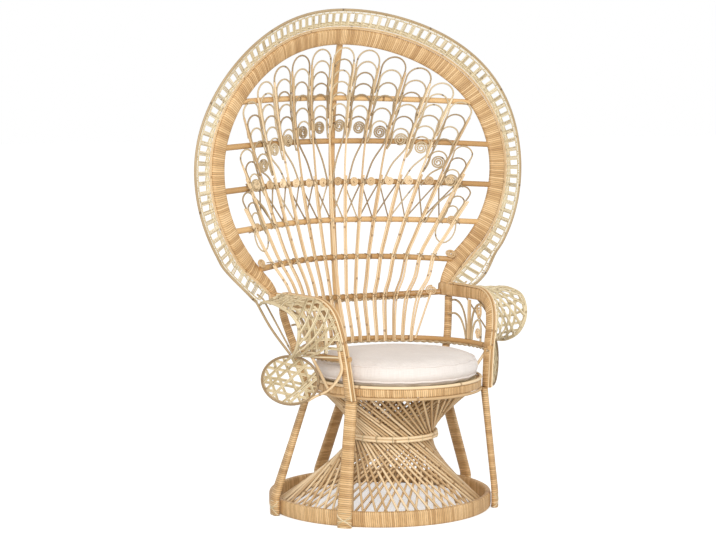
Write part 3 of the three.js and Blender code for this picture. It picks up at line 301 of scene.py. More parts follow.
# %% [markdown]
# ## Round cane and split cane
# Thin canes show long fibres, a darker ring at each joint of the plant, and no two have quite the same tone.
# A material for each cane would be endless work, so the tone comes from the whole part of v: the helper that
# makes a cane adds a whole number to its v, and canes in one mesh still differ.

# %% Round cane pattern
JOINT_GAP = 310 * MM
thin, surface, result = new_group("round_cane_pattern", ["Tone", "Joint", "Height", "Fibre"])
along, girth = thin.split(surface)
cane_number = thin.maths("FLOOR", thin.plus(girth, 0.02))
own_tone = thin.pick(cane_number, 1.3)
patch = thin.noise(thin.point(along, cane_number), 9.0, 2)
thin.give(result["Tone"], thin.plus(thin.times(own_tone, 0.6), thin.times(patch, 0.4)))
joints = thin.maths("DIVIDE", thin.plus(along, thin.times(own_tone, JOINT_GAP)), JOINT_GAP)
to_joint = thin.maths("ABSOLUTE", thin.maths("SUBTRACT", thin.maths("FRACT", joints), 0.5))
joint = thin.span(to_joint, 0.006, 0.016, 1.0, 0.0, smooth=True)
thin.give(result["Joint"], joint)
fibre = thin.noise(thin.point(thin.times(along, 14.0), thin.times(girth, 1900.0)), 1.0, 3)
thin.give(result["Fibre"], fibre)
thin.give(result["Height"], thin.plus(thin.times(fibre, 0.3), joint))
print("round cane pattern:", len(thin.tree.nodes), "nodes")

# %% [markdown]
# ## The cane finishes
# One recipe makes every cane finish from a pattern and four colours: light, middle, dark, and a fourth darker
# colour that is painted shade in the grooves between wound turns and the real dark ring at the joints of thin
# cane. The colours are those of natural rattan under clear lacquer, honey for poles and windings
# and paler for the split cane of the weaving. Slow patches of a browner tone show its age.

# %% Cane materials


def cane_finish(name, pattern, shades, rough, strength, depth):
    """A cane finish: light, middle and dark tones, a colour for joints and painted gap shade, roughness and
    relief.
    """
    material, recipe, paint = new_finish(name)
    group = recipe.add("Group", node_tree=pattern.tree)
    recipe.give(group.inputs["Surface"], recipe.add("UVMap", uv_map="UVMap").outputs[0])
    look = group.outputs
    tone = recipe.plus(recipe.times(look["Tone"], 0.72), recipe.times(look["Fibre"], 0.3))
    colour = recipe.ramp(tone, (0.24, 0.5, 0.76), shades[2::-1])
    age = recipe.span(recipe.noise(recipe.add("TexCoord").outputs["Object"], 5.0, 3), 0.35, 0.75, 0.0, 0.28)
    colour = recipe.mixed(age, colour, linear(214, 186, 150), "MULTIPLY")
    # The fourth colour is laid by the gap mask on wound cane, as painted shade in the grooves between turns,
    # and by the joint mask on thin cane, as the real dark ring of each joint.
    joint_and_gap_shade = look["GapShade"] if "GapShade" in look else look["Joint"]
    colour = recipe.mixed(recipe.times(joint_and_gap_shade, 0.75), colour, linear(*shades[3]))
    recipe.give(paint["Base Color"], colour)
    recipe.give(paint["Roughness"], recipe.span(look["Fibre"], 0.3, 0.7, rough - 0.07, rough + 0.09))
    recipe.give(paint["Normal"], recipe.bump(look["Height"], strength, depth))
    return material


WOUND = cane_finish("wound_rattan", wound,
                    ((240, 204, 153), (216, 177, 124), (180, 138, 88), (112, 74, 36)), 0.46, 0.9, 0.8 * MM)
ROUND = cane_finish("round_rattan", thin,
                    ((245, 221, 182), (231, 202, 158), (200, 166, 120), (150, 112, 70)), 0.44, 0.5, 0.3 * MM)
POLE = cane_finish("pole_rattan", thin,
                   ((228, 188, 132), (208, 166, 110), (174, 132, 80), (120, 82, 44)), 0.4, 0.5, 0.4 * MM)
SKIN = cane_finish("rattan_skin", thin,
                   ((216, 196, 160), (188, 164, 126), (148, 122, 88), (104, 78, 48)), 0.42, 0.5, 0.3 * MM)
PALE = cane_finish("split_cane", thin,
                   ((240, 226, 194), (222, 206, 168), (190, 170, 132), (146, 122, 86)), 0.56, 0.5, 0.25 * MM)
print("cane finishes:", [finish.name for finish in (WOUND, ROUND, POLE, SKIN, PALE)])

# %% [markdown]
# ## From a few points to a smooth line
# A maker bends a cane round a few pegs, and the cane finds its own smooth line between them. The line here
# is a centripetal spline through the given points. Blender's own smooth curves could draw it too, but this
# one is cut into even steps, so that the UV map along a cane keeps one scale.

# %% Line helpers


def even(line, step, closed=False):
    """Places at even distances along a line of short straight parts."""
    line = [Vector(place) for place in line] + ([Vector(line[0])] if closed else [])
    reach = [0.0]
    for here, there in zip(line, line[1:]):
        reach.append(reach[-1] + (there - here).length)
    count = max(4 if closed else 1, round(reach[-1] / step))
    places = []
    part = 0
    for number in range(count + 1):
        goal = reach[-1] * number / count
        while part < len(line) - 2 and reach[part + 1] < goal:
            part += 1
        run = reach[part + 1] - reach[part]
        places.append(line[part].lerp(line[part + 1], (goal - reach[part]) / run if run > 0 else 0))
    return places[:-1] if closed else places


def smooth(pegs, step, closed=False):
    """Even places on the smooth line through a few pegs."""
    pegs = [Vector(place) for place in pegs]
    end = pegs[-1]
    if closed:
        pegs = pegs[-1:] + pegs + pegs[:2]
    else:
        pegs = [2 * pegs[0] - pegs[1]] + pegs + [2 * pegs[-1] - pegs[-2]]
    line = []
    for a, b, c, d in zip(pegs, pegs[1:], pegs[2:], pegs[3:]):
        t1 = math.sqrt((b - a).length)
        t2 = t1 + math.sqrt((c - b).length)
        t3 = t2 + math.sqrt((d - c).length)
        for number in range(12):
            t = t1 + (t2 - t1) * number / 12
            ab, bc, cd = a.lerp(b, t / t1), b.lerp(c, (t - t1) / (t2 - t1)), c.lerp(d, (t - t2) / (t3 - t2))
            line.append(ab.lerp(bc, t / t2).lerp(bc.lerp(cd, (t - t1) / (t3 - t1)), (t - t1) / (t2 - t1)))
    if not closed:
        line.append(end)
    return even(line, step, closed)


def around(radius, degrees, height, forward=0.0):
    """A point on a circle. The angle runs from the front towards the sitter's left."""
    turn = math.radians(degrees)
    return Vector((radius * math.sin(turn), -forward - radius * math.cos(turn), height))


def mix(start, end, share):
    return start + (end - start) * share


def ease(value):
    """A share from 0 to 1 that starts and ends gently."""
    value = min(1, max(0, value))
    return value * value * (3 - 2 * value)


def circle(count):
    """The turns of evenly spaced places on a circle."""
    return [2 * math.pi * number / count for number in range(count)]


print("three pegs give a line of", len(smooth(((0, 0, 0), (1, 1, 0), (2, 0, 0)), 0.1)), "places")

# %% [markdown]
# ## One cane
# A curve with a round bevel makes a clean tube in one step and gives it a UV map. The map is stretched to
# real metres, a random start keeps the joints of neighbouring canes apart, and a whole number added to v
# gives each cane its own tone. Many canes share one mesh, the way they share one woven piece.

# %% Cane helper


def cane(bm, path, radius, sides=6, closed=False, look=0):
    """Add one round cane to a mesh: a tube along even places. Look is the number of its finish."""
    curve = bpy.data.curves.new("cane", "CURVE")
    curve.dimensions = "3D"
    curve.twist_mode = "MINIMUM"
    curve.bevel_depth = 1
    curve.bevel_resolution = (sides - 4) // 2
    curve.use_fill_caps = not closed
    line = curve.splines.new("POLY")
    line.points.add(len(path) - 1)
    line.use_cyclic_u = closed
    for peg, place in zip(line.points, path):
        peg.co = (*place, 1)
        peg.radius = radius
    holder = bpy.data.objects.new("cane", curve)
    mesh = bpy.data.meshes.new_from_object(holder)
    length = sum((b - a).length for a, b in zip(path, path[1:]))
    uv = np.empty(len(mesh.loops) * 2, np.float32)
    mesh.uv_layers[0].data.foreach_get("uv", uv)
    uv[0::2] = uv[0::2] * length + chance.random()
    uv[1::2] = uv[1::2] * 2 * math.pi * radius + chance.randrange(1, 40)
    mesh.uv_layers[0].data.foreach_set("uv", uv)
    mesh.polygons.foreach_set("material_index", [look] * len(mesh.polygons))
    bm.from_mesh(mesh)
    bpy.data.meshes.remove(mesh)
    bpy.data.objects.remove(holder)
    bpy.data.curves.remove(curve)


# %% [markdown]
# ## One band
# The arch, the arms and the legs are oblong in section, and they turn as they go, which a round bevel can't
# follow. A grid from bmesh is laid over the band instead: its columns are stations along the path and its
# rows go round a rounded oblong. The seam is then merged and the ends are filled, which leaves a closed piece
# with an even map for the winding.

# %% Band helper


def rounded(value, power):
    """Push a sine or cosine outwards, so that a circle becomes a rounded oblong."""
    return math.copysign(abs(value) ** power, value)


def pour(part, bm):
    """Add a finished part to a piece's mesh."""
    mesh = bpy.data.meshes.new("part")
    part.to_mesh(mesh)
    part.free()
    bm.from_mesh(mesh)
    bpy.data.meshes.remove(mesh)


def band(bm, stations, sides=16, square=0.55):
    """Add a wound band to a mesh. A station is place, across, through, half width and half thickness."""
    columns = len(stations) - 1
    part = bmesh.new()
    uv = part.loops.layers.uv.new("UVMap")
    bmesh.ops.create_grid(part, x_segments=columns, y_segments=sides, size=1, calc_uvs=True)
    reach = [0.0]
    for here, there in zip(stations, stations[1:]):
        reach.append(reach[-1] + (there[0] - here[0]).length)
    girth = 3.6 * (stations[0][3] + stations[0][4])
    first_u = chance.random()
    for face in part.faces:
        for corner in face.loops:
            column = round(corner[uv].uv.x * columns)
            corner[uv].uv = (reach[column] + first_u, corner[uv].uv.y * girth + 1)
    seam = []
    for vert in part.verts:
        column, row = round((vert.co.x + 1) / 2 * columns), round((vert.co.y + 1) / 2 * sides)
        place, across, through, half_width, half_depth = stations[column]
        turn = 2 * math.pi * row / sides
        out, over = rounded(math.cos(turn), square), rounded(math.sin(turn), square)
        vert.co = place + across * (half_width * out) + through * (half_depth * over)
        if row in (0, sides):
            seam.append(vert)
    bmesh.ops.remove_doubles(part, verts=seam, dist=1e-6)
    bmesh.ops.holes_fill(part, edges=[edge for edge in part.edges if edge.is_boundary], sides=0)
    bmesh.ops.recalc_face_normals(part, faces=part.faces)
    pour(part, bm)


# %% [markdown]
# ## A finished piece
# Each piece is one object with its place in its mesh. It takes the place of its solid in the pictures and
# rides on the chair or the cushion. Left and right pieces are mirror images. A Mirror modifier would join
# them in one object, so the right one is a copy scaled by -1 across, with its faces turned round again.

# %% Piece helpers


def finish(name, bm, materials, slot, replaced, body="chair"):
    mesh = bpy.data.meshes.new(name)
    bmesh.ops.translate(bm, verts=bm.verts, vec=HOOP_MIDDLE)
    bm.to_mesh(mesh)
    bm.free()
    for material in materials:
        mesh.materials.append(material)
    mesh.polygons.foreach_set("use_smooth", [True] * len(mesh.polygons))
    piece = bpy.data.objects.new(name, mesh)
    scene.collection.objects.link(piece)
    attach(piece, body)
    if replaced:
        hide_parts(*replaced)
    print(f"{name}: {len(mesh.polygons)} faces")


def finish_pair(name, bm, materials, slot, replaced):
    other = bm.copy()
    bmesh.ops.scale(other, vec=(-1, 1, 1), verts=other.verts)
    bmesh.ops.reverse_faces(other, faces=other.faces)
    finish(name + "_left", bm, materials, slot, [replaced + "_left"])
    finish(name + "_right", other, materials, slot, [replaced + "_right"])


# %% [markdown]
# ## Base hoop and seat hoop
# The base hoop is a flat ring of several canes wound together, 45 mm high, and it carries everything. The
# seat hoop is the same thing at sitting height. A band could be bent into a ring, but a ring is simpler: one
# rounded outline is spun round the vertical axis, and the full turn is merged. The map then needs only the
# angle times the radius.

# %% Hoop helper
BASE_RADIUS = 334 * MM
SEAT_RADIUS = 251 * MM


def beside(angle, guide):
    """The same angle, a full turn more or less, so that it lies next to another one."""
    return guide + math.remainder(angle - guide, 2 * math.pi)


def wound_hoop(bm, radius, forward, foot, height, wall, steps):
    """Add a wound ring with a rounded oblong outline; radius is its outside."""
    part = bmesh.new()
    uv = part.loops.layers.uv.new("UVMap")
    middle, centre = radius - wall / 2, foot + height / 2
    section = []
    for number in range(16):
        turn = 2 * math.pi * (number + 0.5) / 16
        out, over = rounded(math.cos(turn), 0.5), rounded(math.sin(turn), 0.35)
        section.append(part.verts.new((middle + wall / 2 * out, 0, centre + height / 2 * over)))
    edges = [part.edges.new(pair) for pair in zip(section, section[1:] + section[:1])]
    bmesh.ops.spin(part, geom=section + edges, cent=(0, 0, 0), axis=(0, 0, 1),
                   angle=2 * math.pi, steps=steps, use_merge=True)
    bmesh.ops.recalc_face_normals(part, faces=part.faces)

    def angles(place):
        """The turn round the hoop and the tilt round its section."""
        reach = math.hypot(place.x, place.y)
        return math.atan2(place.y, place.x), math.atan2(place.z - centre, reach - middle)

    for face in part.faces:
        turn, tilt = angles(face.calc_center_median())
        for corner in face.loops:
            u, v = angles(corner.vert.co)
            corner[uv].uv = (beside(u, turn) * radius + 4, beside(v, tilt) * (wall + height) / math.pi + 1)
    bmesh.ops.translate(part, verts=part.verts, vec=(0, -forward, 0))
    pour(part, bm)


def ring_line(radius, height, forward):
    count = round(2 * math.pi * radius / (12 * MM))
    return [around(radius, 360 * number / count, height, forward) for number in range(count)]


# %% Both hoops and the seat's edge canes
bm = bmesh.new()
wound_hoop(bm, BASE_RADIUS, 0, 0, 45 * MM, 18 * MM, steps=168)
finish("wound_base_hoop", bm, [WOUND], "wrapped_rattan", ["base_hoop"])
bm = bmesh.new()
wound_hoop(bm, SEAT_RADIUS, SEAT_FORWARD, 371.2 * MM, 23 * MM, 14 * MM, steps=132)
finish("wound_seat_hoop", bm, [WOUND], "wrapped_rattan", ["seat_hoop"])
for name, height in (("top", 399), ("bottom", 366.4)):
    bm = bmesh.new()
    cane(bm, ring_line(248.75 * MM, height * MM, SEAT_FORWARD), 4.5 * MM, 8, closed=True)
    finish(f"seat_{name}_edge", bm, [ROUND], "rattan", [f"seat_{name}_cane"])

# %% [markdown]
# ## Hourglass
# Two layers of canes run between the base hoop and the seat, one slanting each way, so they cross in
# diamonds. Each cane is straight from the hoop to the waist, where a double hoop binds all of them, and
# straight again up to the seat. A spun sheet with holes would look flat, and a real chair of this size has
# about twice as many canes as its solid, so a loop lays them all, each a little off its even place.

# %% Hourglass
WAIST = 227 * MM
WAIST_FORWARD = 68 * MM
WAIST_RADIUS = 136 * MM
HOURGLASS_CANES = 54
FOOT_REACH, BEND_REACH, TOP_REACH = 306 * MM, 119 * MM, 231 * MM
FOOT_SWING, TOP_SWING = 66, 55


def hourglass_layer(name, inset, way, tie_ring, replaced):
    """One layer. Way is 1 or -1 for its slant, and the tie ring is the radius of two hoops that bind it."""
    bm = bmesh.new()
    for number in range(HOURGLASS_CANES):
        angle = 360 * (number + 0.16 * chance.uniform(-1, 1)) / HOURGLASS_CANES
        foot = around(FOOT_REACH - inset, angle + way * FOOT_SWING, 8 * MM)
        bend = around(BEND_REACH - inset, angle, WAIST, WAIST_FORWARD)
        top = around(TOP_REACH - inset, angle - way * TOP_SWING, 370.5 * MM, SEAT_FORWARD)
        path = even([foot, foot.lerp(bend, 0.94), bend.lerp(top, 0.09), top], 24 * MM)
        cane(bm, path, 3.7 * MM * chance.uniform(0.93, 1.05))
    for side in (-1, 1):
        cane(bm, ring_line(tie_ring, WAIST + side * 3.4 * MM, WAIST_FORWARD), 3 * MM, closed=True)
    finish(name, bm, [ROUND], "rattan", replaced)


hourglass_layer("hourglass_outer_layer", 0, 1, 121.5 * MM, ["hourglass_outer_lower", "hourglass_outer_upper"])
hourglass_layer("hourglass_inner_layer", 15 * MM, -1, 100 * MM,
                ["hourglass_inner_lower", "hourglass_inner_upper"])

# %% Waist hoop
bm = bmesh.new()
for side in (-1, 1):
    ring = ring_line(WAIST_RADIUS - 4.5 * MM, WAIST + side * 4.5 * MM, WAIST_FORWARD)
    cane(bm, ring, 4.4 * MM, 8, closed=True)
for number in range(18):
    loop = [around(WAIST_RADIUS - 5 * MM + 6.2 * MM * math.cos(turn), 20 * number + 7,
                   WAIST + 10.4 * MM * math.sin(turn), WAIST_FORWARD) for turn in circle(10)]
    cane(bm, loop, 1.5 * MM, 4, closed=True, look=1)
finish("waist_double_hoop", bm, [ROUND, PALE], "rattan", ["waist_hoop"])

# %% [markdown]
# ## Legs
# Five legs stand outside the hoops. Each is a flat bundle, upright beside the base hoop and then leaning in
# to the seat, wound all the way, so it is a band. The lowest part is bound to the hoop with strips that cross
# in front. They are thin canes on a half turn round the leg, because a drawn strip would show no edge.

# %% Legs
KNEE = 52 * MM
LEG_TOP = 361.6 * MM


def leg_station(foot_angle, top_angle, height):
    """The leg's place, directions and half sizes at a height."""
    knee = around(346.3 * MM, foot_angle, KNEE)
    top = around(262.25 * MM, top_angle, LEG_TOP, SEAT_FORWARD)
    share = max(0.0, (height - KNEE) / (LEG_TOP - KNEE))
    place = knee.lerp(top, share)
    place.z = height
    angle = math.radians(mix(foot_angle, top_angle, share))
    along = Vector((math.cos(angle), math.sin(angle), 0))
    out = Vector((math.sin(angle), -math.cos(angle), 0))
    return (place, along, out, mix(21, 17, share) * MM, 10.2 * MM)


def leg(foot_angle, top_angle):
    bm = bmesh.new()
    band(bm, [leg_station(foot_angle, top_angle, LEG_TOP * step / 30) for step in range(31)], square=0.7)
    for low, high in ((4, 40), (40, 4), (13, 31), (31, 13)):
        strip = []
        for step in range(9):
            place, along, out, half, depth = leg_station(foot_angle, top_angle, mix(low, high, step / 8) * MM)
            turn = math.pi * (step / 8 - 0.5)
            lift = depth * math.cos(turn) ** 0.6 if 0 < step < 8 else 0
            strip.append(place + along * (half * math.sin(turn)) + out * lift)
        cane(bm, strip, 1.4 * MM, 4, look=1)
    for height in (3, 43, 350):
        place, along, out, half, depth = leg_station(foot_angle, top_angle, height * MM)
        loop = [place + along * (half * math.cos(turn)) + out * (depth * math.sin(turn))
                for turn in circle(20)]
        cane(bm, loop, 1.2 * MM, 4, closed=True, look=1)
    return bm


finish_pair("wound_leg_front", leg(50, 63), [WOUND, PALE], "wrapped_rattan", "leg_front")
finish_pair("wound_leg_side", leg(96, 115), [WOUND, PALE], "wrapped_rattan", "leg_side")
finish("wound_leg_rear", leg(180, 180), [WOUND, PALE], "wrapped_rattan", ["leg_rear"])

# %% [markdown]
# ## The fan's sheet
# The whole back lies on one curved sheet: it leans, bows backwards at mid height and wraps forward at the
# sides. Placing each cane by hand in space would never keep them level with one another. So two functions
# describe the sheet, and everything on the fan is drawn flat, as x and z, and then laid on it with a lift
# towards the sitter.

# %% Sheet
FAN_CENTRE = 1004 * MM
FAN_HALF = 499 * MM
FAN_RISE = 402 * MM
FAN_DROP = 424 * MM
FULL_BACK = 1040 * MM


def sheet(x, z):
    above = z > FULL_BACK
    reach = 445.8 * MM if above else 560 * MM
    lean = 85 * MM if above else 46 * MM
    back = 249 * MM - lean * ((z - FULL_BACK) / reach) ** 2
    dish = mix(91, 149, 1 - ease((z - 640 * MM) / (110 * MM))) * MM * (1 - math.cos(math.pi * x / (633 * MM)))
    return Vector((x, back - dish, z))


def sheet_normal(x, z):
    across = sheet(x + 2 * MM, z) - sheet(x - 2 * MM, z)
    upward = sheet(x, z + 2 * MM) - sheet(x, z - 2 * MM)
    return across.cross(upward).normalized()


def on_sheet(x, z, lift=0.0):
    return sheet(x, z) + sheet_normal(x, z) * lift


def outline(turn, outset=0.0):
    """The fan's egg-shaped outline, flat: turn 0 is the top."""
    rise = FAN_RISE if abs(turn) < math.pi / 2 else FAN_DROP
    normal = Vector((math.sin(turn) / FAN_HALF, math.cos(turn) / rise)).normalized()
    return Vector((FAN_HALF * math.sin(turn), FAN_CENTRE + rise * math.cos(turn))) + normal * outset


def turn_at(height, outset):
    """The turn at which the outline has come down to a height."""
    low, high = math.pi / 2, math.pi
    for _ in range(40):
        middle = (low + high) / 2
        low, high = (middle, high) if outline(middle, outset).y > height else (low, middle)
    return low


print("the sheet's back at the middle:", round(sheet(0, FULL_BACK).y, 3))

# %% [markdown]
# ## Fan arch
# The arch is a flat wound band, 46 mm wide, on an egg-shaped line that bends into an upright neck above each
# arm. Its middle line is worked out flat. At every station the band's width follows the sheet and its
# thickness points along the sheet's normal, so the arch doesn't twist. Its lower ends are drawn in and back a
# little, where the photograph shows them landing on the arms.

# %% Arch line
ARM_REACH = 297 * MM
NECK_REACH = 308.5 * MM
ARCH_STEP = 11 * MM


def arch_places():
    """Places on the middle of the arch, flat, with the outward direction at each."""
    end = turn_at(ARM_TOP + 58 * MM, 0)
    flats = [outline(mix(-end, end, number / 60)) for number in range(61)]
    neck = Vector((NECK_REACH, ARM_TOP + 2 * MM))
    tail = [neck, neck - Vector((3 * MM, 30 * MM)), neck - Vector((3 * MM, 80 * MM))]
    flip = [Vector((-place.x, place.y)) for place in reversed(tail)]
    line = smooth([(place.x, place.y, 0) for place in flip + flats + tail], ARCH_STEP)
    places = []
    for before, here, after in zip(line, line[1:], line[2:]):
        run = (after - before).normalized()
        if here.y > ARM_TOP - 34 * MM:
            places.append((Vector((here.x, here.y)), Vector((-run.y, run.x))))
    return places


def drawn_in(place):
    """Draw a place near the fan's lower ends in and back. The border beyond the arch only goes back."""
    share = ease((765 * MM - place.z) / (115 * MM))
    beyond = min(1, max(0, (abs(place.x) - 320 * MM) / (80 * MM)))
    inward = math.copysign(6 * MM * (1 - beyond), place.x)
    return place + Vector((-inward, (24 + 26 * beyond) * MM, 0)) * share


def beside_arch(place, outset, lift=0.0):
    """A place beside the arch's middle line. The arch narrows towards its neck."""
    middle, out = place
    share = min(1, max(0, (740 * MM - middle.y) / (90 * MM)))
    flat = middle + out * (outset * mix(1, 0.15 if outset < 0 else 0.85, share))
    return drawn_in(on_sheet(flat.x, flat.y, lift))


# %% Wound arch and its edge canes
bm = bmesh.new()
stations = []
for place in arch_places():
    outer, inner = beside_arch(place, 23 * MM), beside_arch(place, -23 * MM)
    through = sheet_normal(place[0].x, place[0].y)
    half = (outer - inner).length / 2
    stations.append(((outer + inner) / 2, (outer - inner).normalized(), through, half, 11 * MM))
band(bm, stations, sides=18, square=0.6)
finish("wound_fan_arch", bm, [WOUND], "wrapped_rattan", ["fan_arch"])
bm = bmesh.new()
# The third cane lies lower, between the two light ones; it is a real cane, but its darker skin finish paints
# the shadow in the narrow gap between them.
for outset, lift, look in ((25.3, 1.6, 0), (29.9, 1.6, 0), (27.6, 0.2, 1)):
    cane(bm, [beside_arch(place, outset * MM, lift * MM) for place in arch_places()], 1.9 * MM, look=look)
finish("fan_edge_trio", bm, [ROUND, SKIN], "rattan", ["fan_edge_cane"])

# %% [markdown]
# ## Woven border
# Outside the arch runs a border of split cane, like a ladder bent round the fan: a narrow plait, then rungs
# with square gaps between them, then two thin canes with small slits between them. The plait is four canes
# that rise and dip in turn. Each rung is three short canes side by side. A picture with holes would be
# quicker, but it has no thickness at the rim. Hundreds of rungs share one mesh, so each has only a few faces.

# %% Places on the border
BORDER_LINE = 32.2 * MM
RIM_OUTSET = 80.3 * MM
RUNG_PITCH = 24.5 * MM
RUNG_BOW = ((32.5, 0.4), (51.5, 0.9), (70.5, 0.4))
BORDER_END = turn_at(ARM_TOP + 8 * MM, BORDER_LINE)
border_line = [outline(mix(-BORDER_END, BORDER_END, number / 600)) for number in range(601)]
BORDER_LENGTH = sum((b - a).length for a, b in zip(border_line, border_line[1:]))


def border_turn(share):
    """The turn at a share of the border's length, so that rungs stand evenly."""
    goal = share * BORDER_LENGTH
    gone = 0.0
    for number, (a, b) in enumerate(zip(border_line, border_line[1:])):
        step = (b - a).length
        if gone + step >= goal:
            return mix(-BORDER_END, BORDER_END, (number + (goal - gone) / step) / 600)
        gone += step
    return BORDER_END


def border_point(turn, outset, lift=0.0):
    """A place on the border. Its inner side keeps to the arch where that bends into its neck."""
    place = outline(turn, outset)
    inside = (RIM_OUTSET - outset) / (RIM_OUTSET - BORDER_LINE)
    place.x -= math.copysign(13 * MM * inside * ease((745 * MM - place.y) / (65 * MM)), place.x)
    return drawn_in(on_sheet(place.x, place.y, lift))


RUNGS = round(BORDER_LENGTH / RUNG_PITCH)
fine_turns = [border_turn(number / (RUNGS * 4)) for number in range(RUNGS * 4 + 1)]
print("border:", RUNGS, "rungs on", round(BORDER_LENGTH, 3), "m")

# %% Plait, thin canes and rungs
bm = bmesh.new()
for row, outset in enumerate((34.4, 37.6, 40.8, 44.0)):
    line = [border_point(turn, outset * MM, (1.5 if (number // 2 + row) % 2 else -1.5) * MM * (number % 2))
            for number, turn in enumerate(fine_turns)]
    cane(bm, line, 1.9 * MM, 4)
for outset in (70.6, 76.2):
    cane(bm, [border_point(turn, outset * MM) for turn in fine_turns[2:-2:2]], 1.8 * MM)
for number in range(RUNGS):
    for side in (-1, 0, 1):
        turn = border_turn((number + 0.5 + side * 0.155) / RUNGS)
        rung = [border_point(turn, outset * MM, lift * MM) for outset, lift in RUNG_BOW]
        cane(bm, rung, 2 * MM, 4)
    for side in (-1, 1):
        turn = border_turn((number + side * 0.13) / RUNGS)
        cane(bm, [border_point(turn, outset * MM, 0.5 * MM) for outset in (70.0, 77.0)], 1.7 * MM, 4)
finish("fan_ladder_border", bm, [PALE], "split_cane", ["fan_border"])

# %% [markdown]
# ## Outer rim
# A darker cane closes the border outside, and its ends run on below the fan to the top of each side hoop,
# with a second cane inside them. One long cane could be drawn round by hand, but it follows the border's
# own places instead, so that it stays on the ladder. Each end bows a little outwards on its way down.

# %% Outer rim
SIDE_HOOP_REACH = 360 * MM
SIDE_HOOP_Z = 414 * MM
SIDE_HOOP_TURN = math.radians(45)


def hoop_place(across, upward):
    """A place on the side hoop, which stands upright and is turned outward."""
    return Vector((SIDE_HOOP_REACH + across * math.cos(SIDE_HOOP_TURN),
                   across * math.sin(SIDE_HOOP_TURN) - 84 * MM, SIDE_HOOP_Z + upward))


bm = bmesh.new()
hoop_top = hoop_place(0, 74 * MM)
rim_arc = [border_point(turn, RIM_OUTSET) for turn in fine_turns[2:-2:2]]
bow = (rim_arc[-1] + hoop_top) / 2 + Vector((14 * MM, -14 * MM, 0))
strut = smooth([rim_arc[-1], bow, hoop_top], 14 * MM)[1:]
far_strut = [Vector((-place.x, place.y, place.z)) for place in reversed(strut)]
cane(bm, far_strut + rim_arc + strut, 3.7 * MM, 8)
for way in (-1, 1):
    inner = [border_point(turn, 62 * MM) for turn in fine_turns[-5::2]] + [hoop_place(-9 * MM, 72 * MM)]
    cane(bm, [Vector((way * place.x, place.y, place.z)) for place in even(inner, 14 * MM)], 2.8 * MM)
finish("fan_rim_cane", bm, [SKIN], "rattan", ["fan_outer_rim"])

# %% [markdown]
# ## Back rails, seat rail and spine
# Five poles cross the arch, one more spans the arms, and a round rail runs behind the seat. A single thicker
# pole, the spine, stands behind them all. They are peeled poles, darker than the thin canes. A cylinder would
# be stiff and straight, so each is a tube on a line that follows the sheet and dips to its ends.

# %% Back rails
RAIL_RADIUS = 9 * MM
RAIL_SAG = 14 * MM


def rail_reach(height):
    fall = (FAN_DROP if height < FAN_CENTRE else FAN_RISE) - 14 * MM
    return (FAN_HALF - 14 * MM) * math.sqrt(1 - ((height - RAIL_SAG - FAN_CENTRE) / fall) ** 2)


for number, height in enumerate(BACK_RAILS[:5], 1):
    reach = rail_reach(height)
    line = [on_sheet(x, height - RAIL_SAG * (x / reach) ** 2) for x in np.linspace(-reach, reach, 60)]
    bm = bmesh.new()
    cane(bm, even(line, 14 * MM), RAIL_RADIUS, 10)
    finish(f"pole_back_rail_{number}", bm, [POLE], "rattan", [f"back_rail_{number}"])

# %% Lowest back rail and its plait


def low_rail_height(x):
    return LOW_RAIL + 13 * MM * (x / ARM_REACH) ** 2


bm = bmesh.new()
line = [on_sheet(x, low_rail_height(x)) for x in np.linspace(-288 * MM, 288 * MM, 50)]
cane(bm, even(line, 12 * MM), RAIL_RADIUS, 10)
for side in (-1, 1):
    plait = [on_sheet(x, low_rail_height(x) - (11.5 + side * 2.4 * math.sin(x * 260)) * MM,
                      side * 2 * math.cos(x * 260) * MM) for x in np.linspace(-262 * MM, 262 * MM, 150)]
    cane(bm, plait, 2.2 * MM, look=1)
finish("pole_back_rail_6", bm, [POLE, SKIN], "rattan", ["back_rail_6"])

# %% Seat rail
SEAT_RAIL_RADIUS = 278 * MM
SEAT_RAIL_START = 61.5
TWIST = 2.3 * MM
bm = bmesh.new()
turns = np.linspace(SEAT_RAIL_START, 360 - SEAT_RAIL_START, 91)
line = [around(SEAT_RAIL_RADIUS, angle, SEAT_RAIL, SEAT_FORWARD) for angle in turns]
cane(bm, line, 7.9 * MM, 10)
for side in (-1, 1):
    twist = []
    for number in range(181):
        angle = mix(SEAT_RAIL_START + 1, 359 - SEAT_RAIL_START, number / 180)
        reach = SEAT_RAIL_RADIUS - 6 * MM + side * TWIST * math.cos(number * 0.9)
        height = SEAT_RAIL - 9.5 * MM + side * TWIST * math.sin(number * 0.9)
        twist.append(around(reach, angle, height, SEAT_FORWARD))
    cane(bm, twist, 2.2 * MM, look=1)
finish("pole_seat_rail", bm, [POLE, SKIN], "rattan", ["seat_rail"])

# %% Spine
BEHIND = -22 * MM
bm = bmesh.new()
pegs = [around(reach * MM, 180, height * MM, SEAT_FORWARD)
        for reach, height in ((263.55, 361.9), (263.55, 375), (298, 480))]
pegs += [on_sheet(0, height, BEHIND) for height in BACK_RAILS[::-1] + [1330 * MM, 1383 * MM]]
cane(bm, smooth(pegs, 14 * MM), 9.8 * MM, 10)
finish("pole_spine", bm, [POLE], "wrapped_rattan", ["spine_pole"])

# %% [markdown]
# ## Fan canes
# Pairs of thin canes stand on the seat rail and spread out over the back. Between the fourth and third
# rails each bay is crossed by two thin canes, with a coiled disc over the third rail. One cane of each pair
# ends there, and the other runs on up. Every bay ends in nested arched canes, the scallops, over a curl. A
# function gives each cane's place across at any height, and loops do the rest, because canes set one by one
# would not nest.

# %% Fan layout
LIFT = 13.8 * MM
FAN_CANES = 8
PITCH = 40 * MM
STEM_CIRCLE = 265.7
SCALLOP_INSET = 27 * MM
CURL_HEIGHTS = (1136, 1130, 1116, 1092, 1066, 1020, 962)


